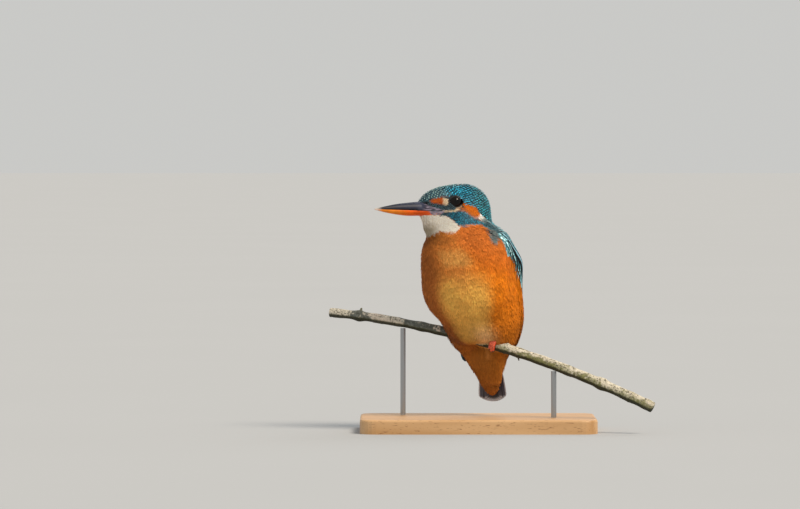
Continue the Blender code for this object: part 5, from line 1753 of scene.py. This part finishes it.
def claw_piece(foot, reach, offset, sweep):
    """A claw: a hook that arches out of the toe's end and narrows to a point on the bark."""
    c = np.linspace(0, 1, CLAW_ROWS)
    reach = reach + 0.30 * np.sin(c * math.pi) - 1.15 * c**1.8
    path, _ = foot_path(foot, reach, offset, sweep * (0.80 + 0.205 * c), 0.8 + 0.2 * c)
    radii = 0.56 * np.sqrt(np.clip(c / 0.08, 0.02, 1)) * (1 - c) ** 0.65 + 0.02
    points = pipe_points(path, radii, CLAW_COLUMNS, foot[1])
    base = smooth(-np.append(np.repeat(c, CLAW_COLUMNS), [0, 1]), -0.3, 0.0)
    return points, *tube_faces(CLAW_ROWS, CLAW_COLUMNS), mixed("#2a211e", ("#6a4a3a", base * 0.7))


def shin_piece(foot, reach):
    """The shin: a tube from the root of the toes up and back into the belly's feathers."""
    middle, _, ahead, up = foot
    s = np.linspace(-0.14, 1.5, SHIN_ROWS)
    path = middle + reach * up + s[:, None] * (np.array([0, 0, SHIN_UP]) - ahead * SHIN_BACK)
    girth = np.interp(s, [-0.14, 0.0, 0.12, 0.4, 1.0, 1.5], [0.9, 1.45, 1.5, 1.4, 1.5, 1.7])
    girth = girth * np.sqrt(np.clip((s + 0.145) / 0.1, 0.01, 1))
    front = np.clip(np.cos(whole_turn(SHIN_COLUMNS)), 0, 1)
    saw = (s * 9) % 1.0
    radii = girth[:, None] * (0.98 + 0.04 * (1 - saw)[:, None] * front)
    points = pipe_points(path, radii, SHIN_COLUMNS, ahead)
    colour = capped(mixed("#dd4d2a", ("#8e2412", plate_lines(saw) * front * 0.6)), "#b03a20", "#dd4d2a")
    return points, *tube_faces(SHIN_ROWS, SHIN_COLUMNS), colour


for side, sign in SIDES.items():
    foot = perch_point(sign * FOOT_SPREAD), *perch_frame(sign * FOOT_SPREAD)
    reach = float(perch_radius(sign * FOOT_SPREAD)) + GAP + TOE_LIFT + TOE_RADIUS
    toes = [toe_piece(foot, reach, *toe) for toe in TOES.values()]
    claws = [claw_piece(foot, reach, *toe) for toe in TOES.values()]
    toes.append(shin_piece(foot, reach))
    for name, pieces, item in (("toes", toes, scales), ("claws", claws, claw_horn)):
        points, faces, flat, colour = joined(pieces)
        made = build(f"{name}_{side}", points, faces, item, bake=flat,
                     colours={"Ground": colour}, in_bird=False)
        if name == "toes":
            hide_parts(f"foot_{side}", f"leg_{side}")

# %% [markdown]
# ## Stand
# The stand is plain on purpose: an oiled beech block and two steel rods that the branch rests on. These
# keep their construction meshes, and only get materials. Beech has fine straight grain with short dark
# flecks, the cut pores of the wood, and the rods are brushed along their length.

# %% Stand materials
beech, tree, shader = finish("oiled_beech", Roughness=0.42)
spot = add(tree, "TexCoord").outputs["Object"]
lengthwise = add(tree, "VectorMath", {0: spot, 1: (14.0, 160.0, 160.0)}, operation="MULTIPLY")
bend = add(tree, "TexNoise", {"Vector": lengthwise, "Scale": 0.35, "Detail": 2.0})
inputs = {0: bend, 1: (0.0, 5.0, 5.0), 2: lengthwise}
moved = add(tree, "VectorMath", inputs, operation="MULTIPLY_ADD")
inputs = {"Vector": moved, "Scale": 0.22, "Distortion": 1.2, "Detail": 2.0}
rings = add(tree, "TexWave", inputs, bands_direction="Y").outputs["Fac"]
fleck_map = add(tree, "VectorMath", {0: spot, 1: (320.0, 2600.0, 2600.0)}, operation="MULTIPLY")
fleck = add(tree, "TexNoise", {"Vector": fleck_map, "Scale": 1.0, "Detail": 1.0})
pores = add(tree, "MapRange", {"Value": fleck, "From Min": 0.66, "From Max": 0.74})
wood = add(tree, "ValToRGB", {"Fac": rings})
wood.color_ramp.elements[0].color = (*linear("#b98d5c"), 1)
wood.color_ramp.elements[1].color = (*linear("#cfa677"), 1)
ground = add(tree, "Mix", {0: pores, 6: wood, 7: (*linear("#8a5f38"), 1)}, data_type="RGBA")
dress(tree, shader, ground.outputs[2], height=pores, strength=0.3, invert=True)
sheen = add(tree, "MapRange", {"Value": rings, "To Min": 0.36, "To Max": 0.5})
feed(tree, sheen, shader.inputs["Roughness"])

steel, tree, shader = finish("brushed_steel_rod", Metallic=1.0, Roughness=0.3)
shader.inputs["Base Color"].default_value = (*linear("#a9abad"), 1)
spot = add(tree, "TexCoord").outputs["Object"]
drawn = add(tree, "VectorMath", {0: spot, 1: (9000.0, 9000.0, 60.0)}, operation="MULTIPLY")
lines = add(tree, "TexNoise", {"Vector": drawn, "Scale": 1.0, "Detail": 2.0})
worn = add(tree, "MapRange", {"Value": lines, "To Min": 0.24, "To Max": 0.42})
feed(tree, worn, shader.inputs["Roughness"])
for name, item in (("stand_base", beech), ("stand_rod_left", steel), ("stand_rod_right", steel)):
    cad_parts[name].material_slots[0].material = item
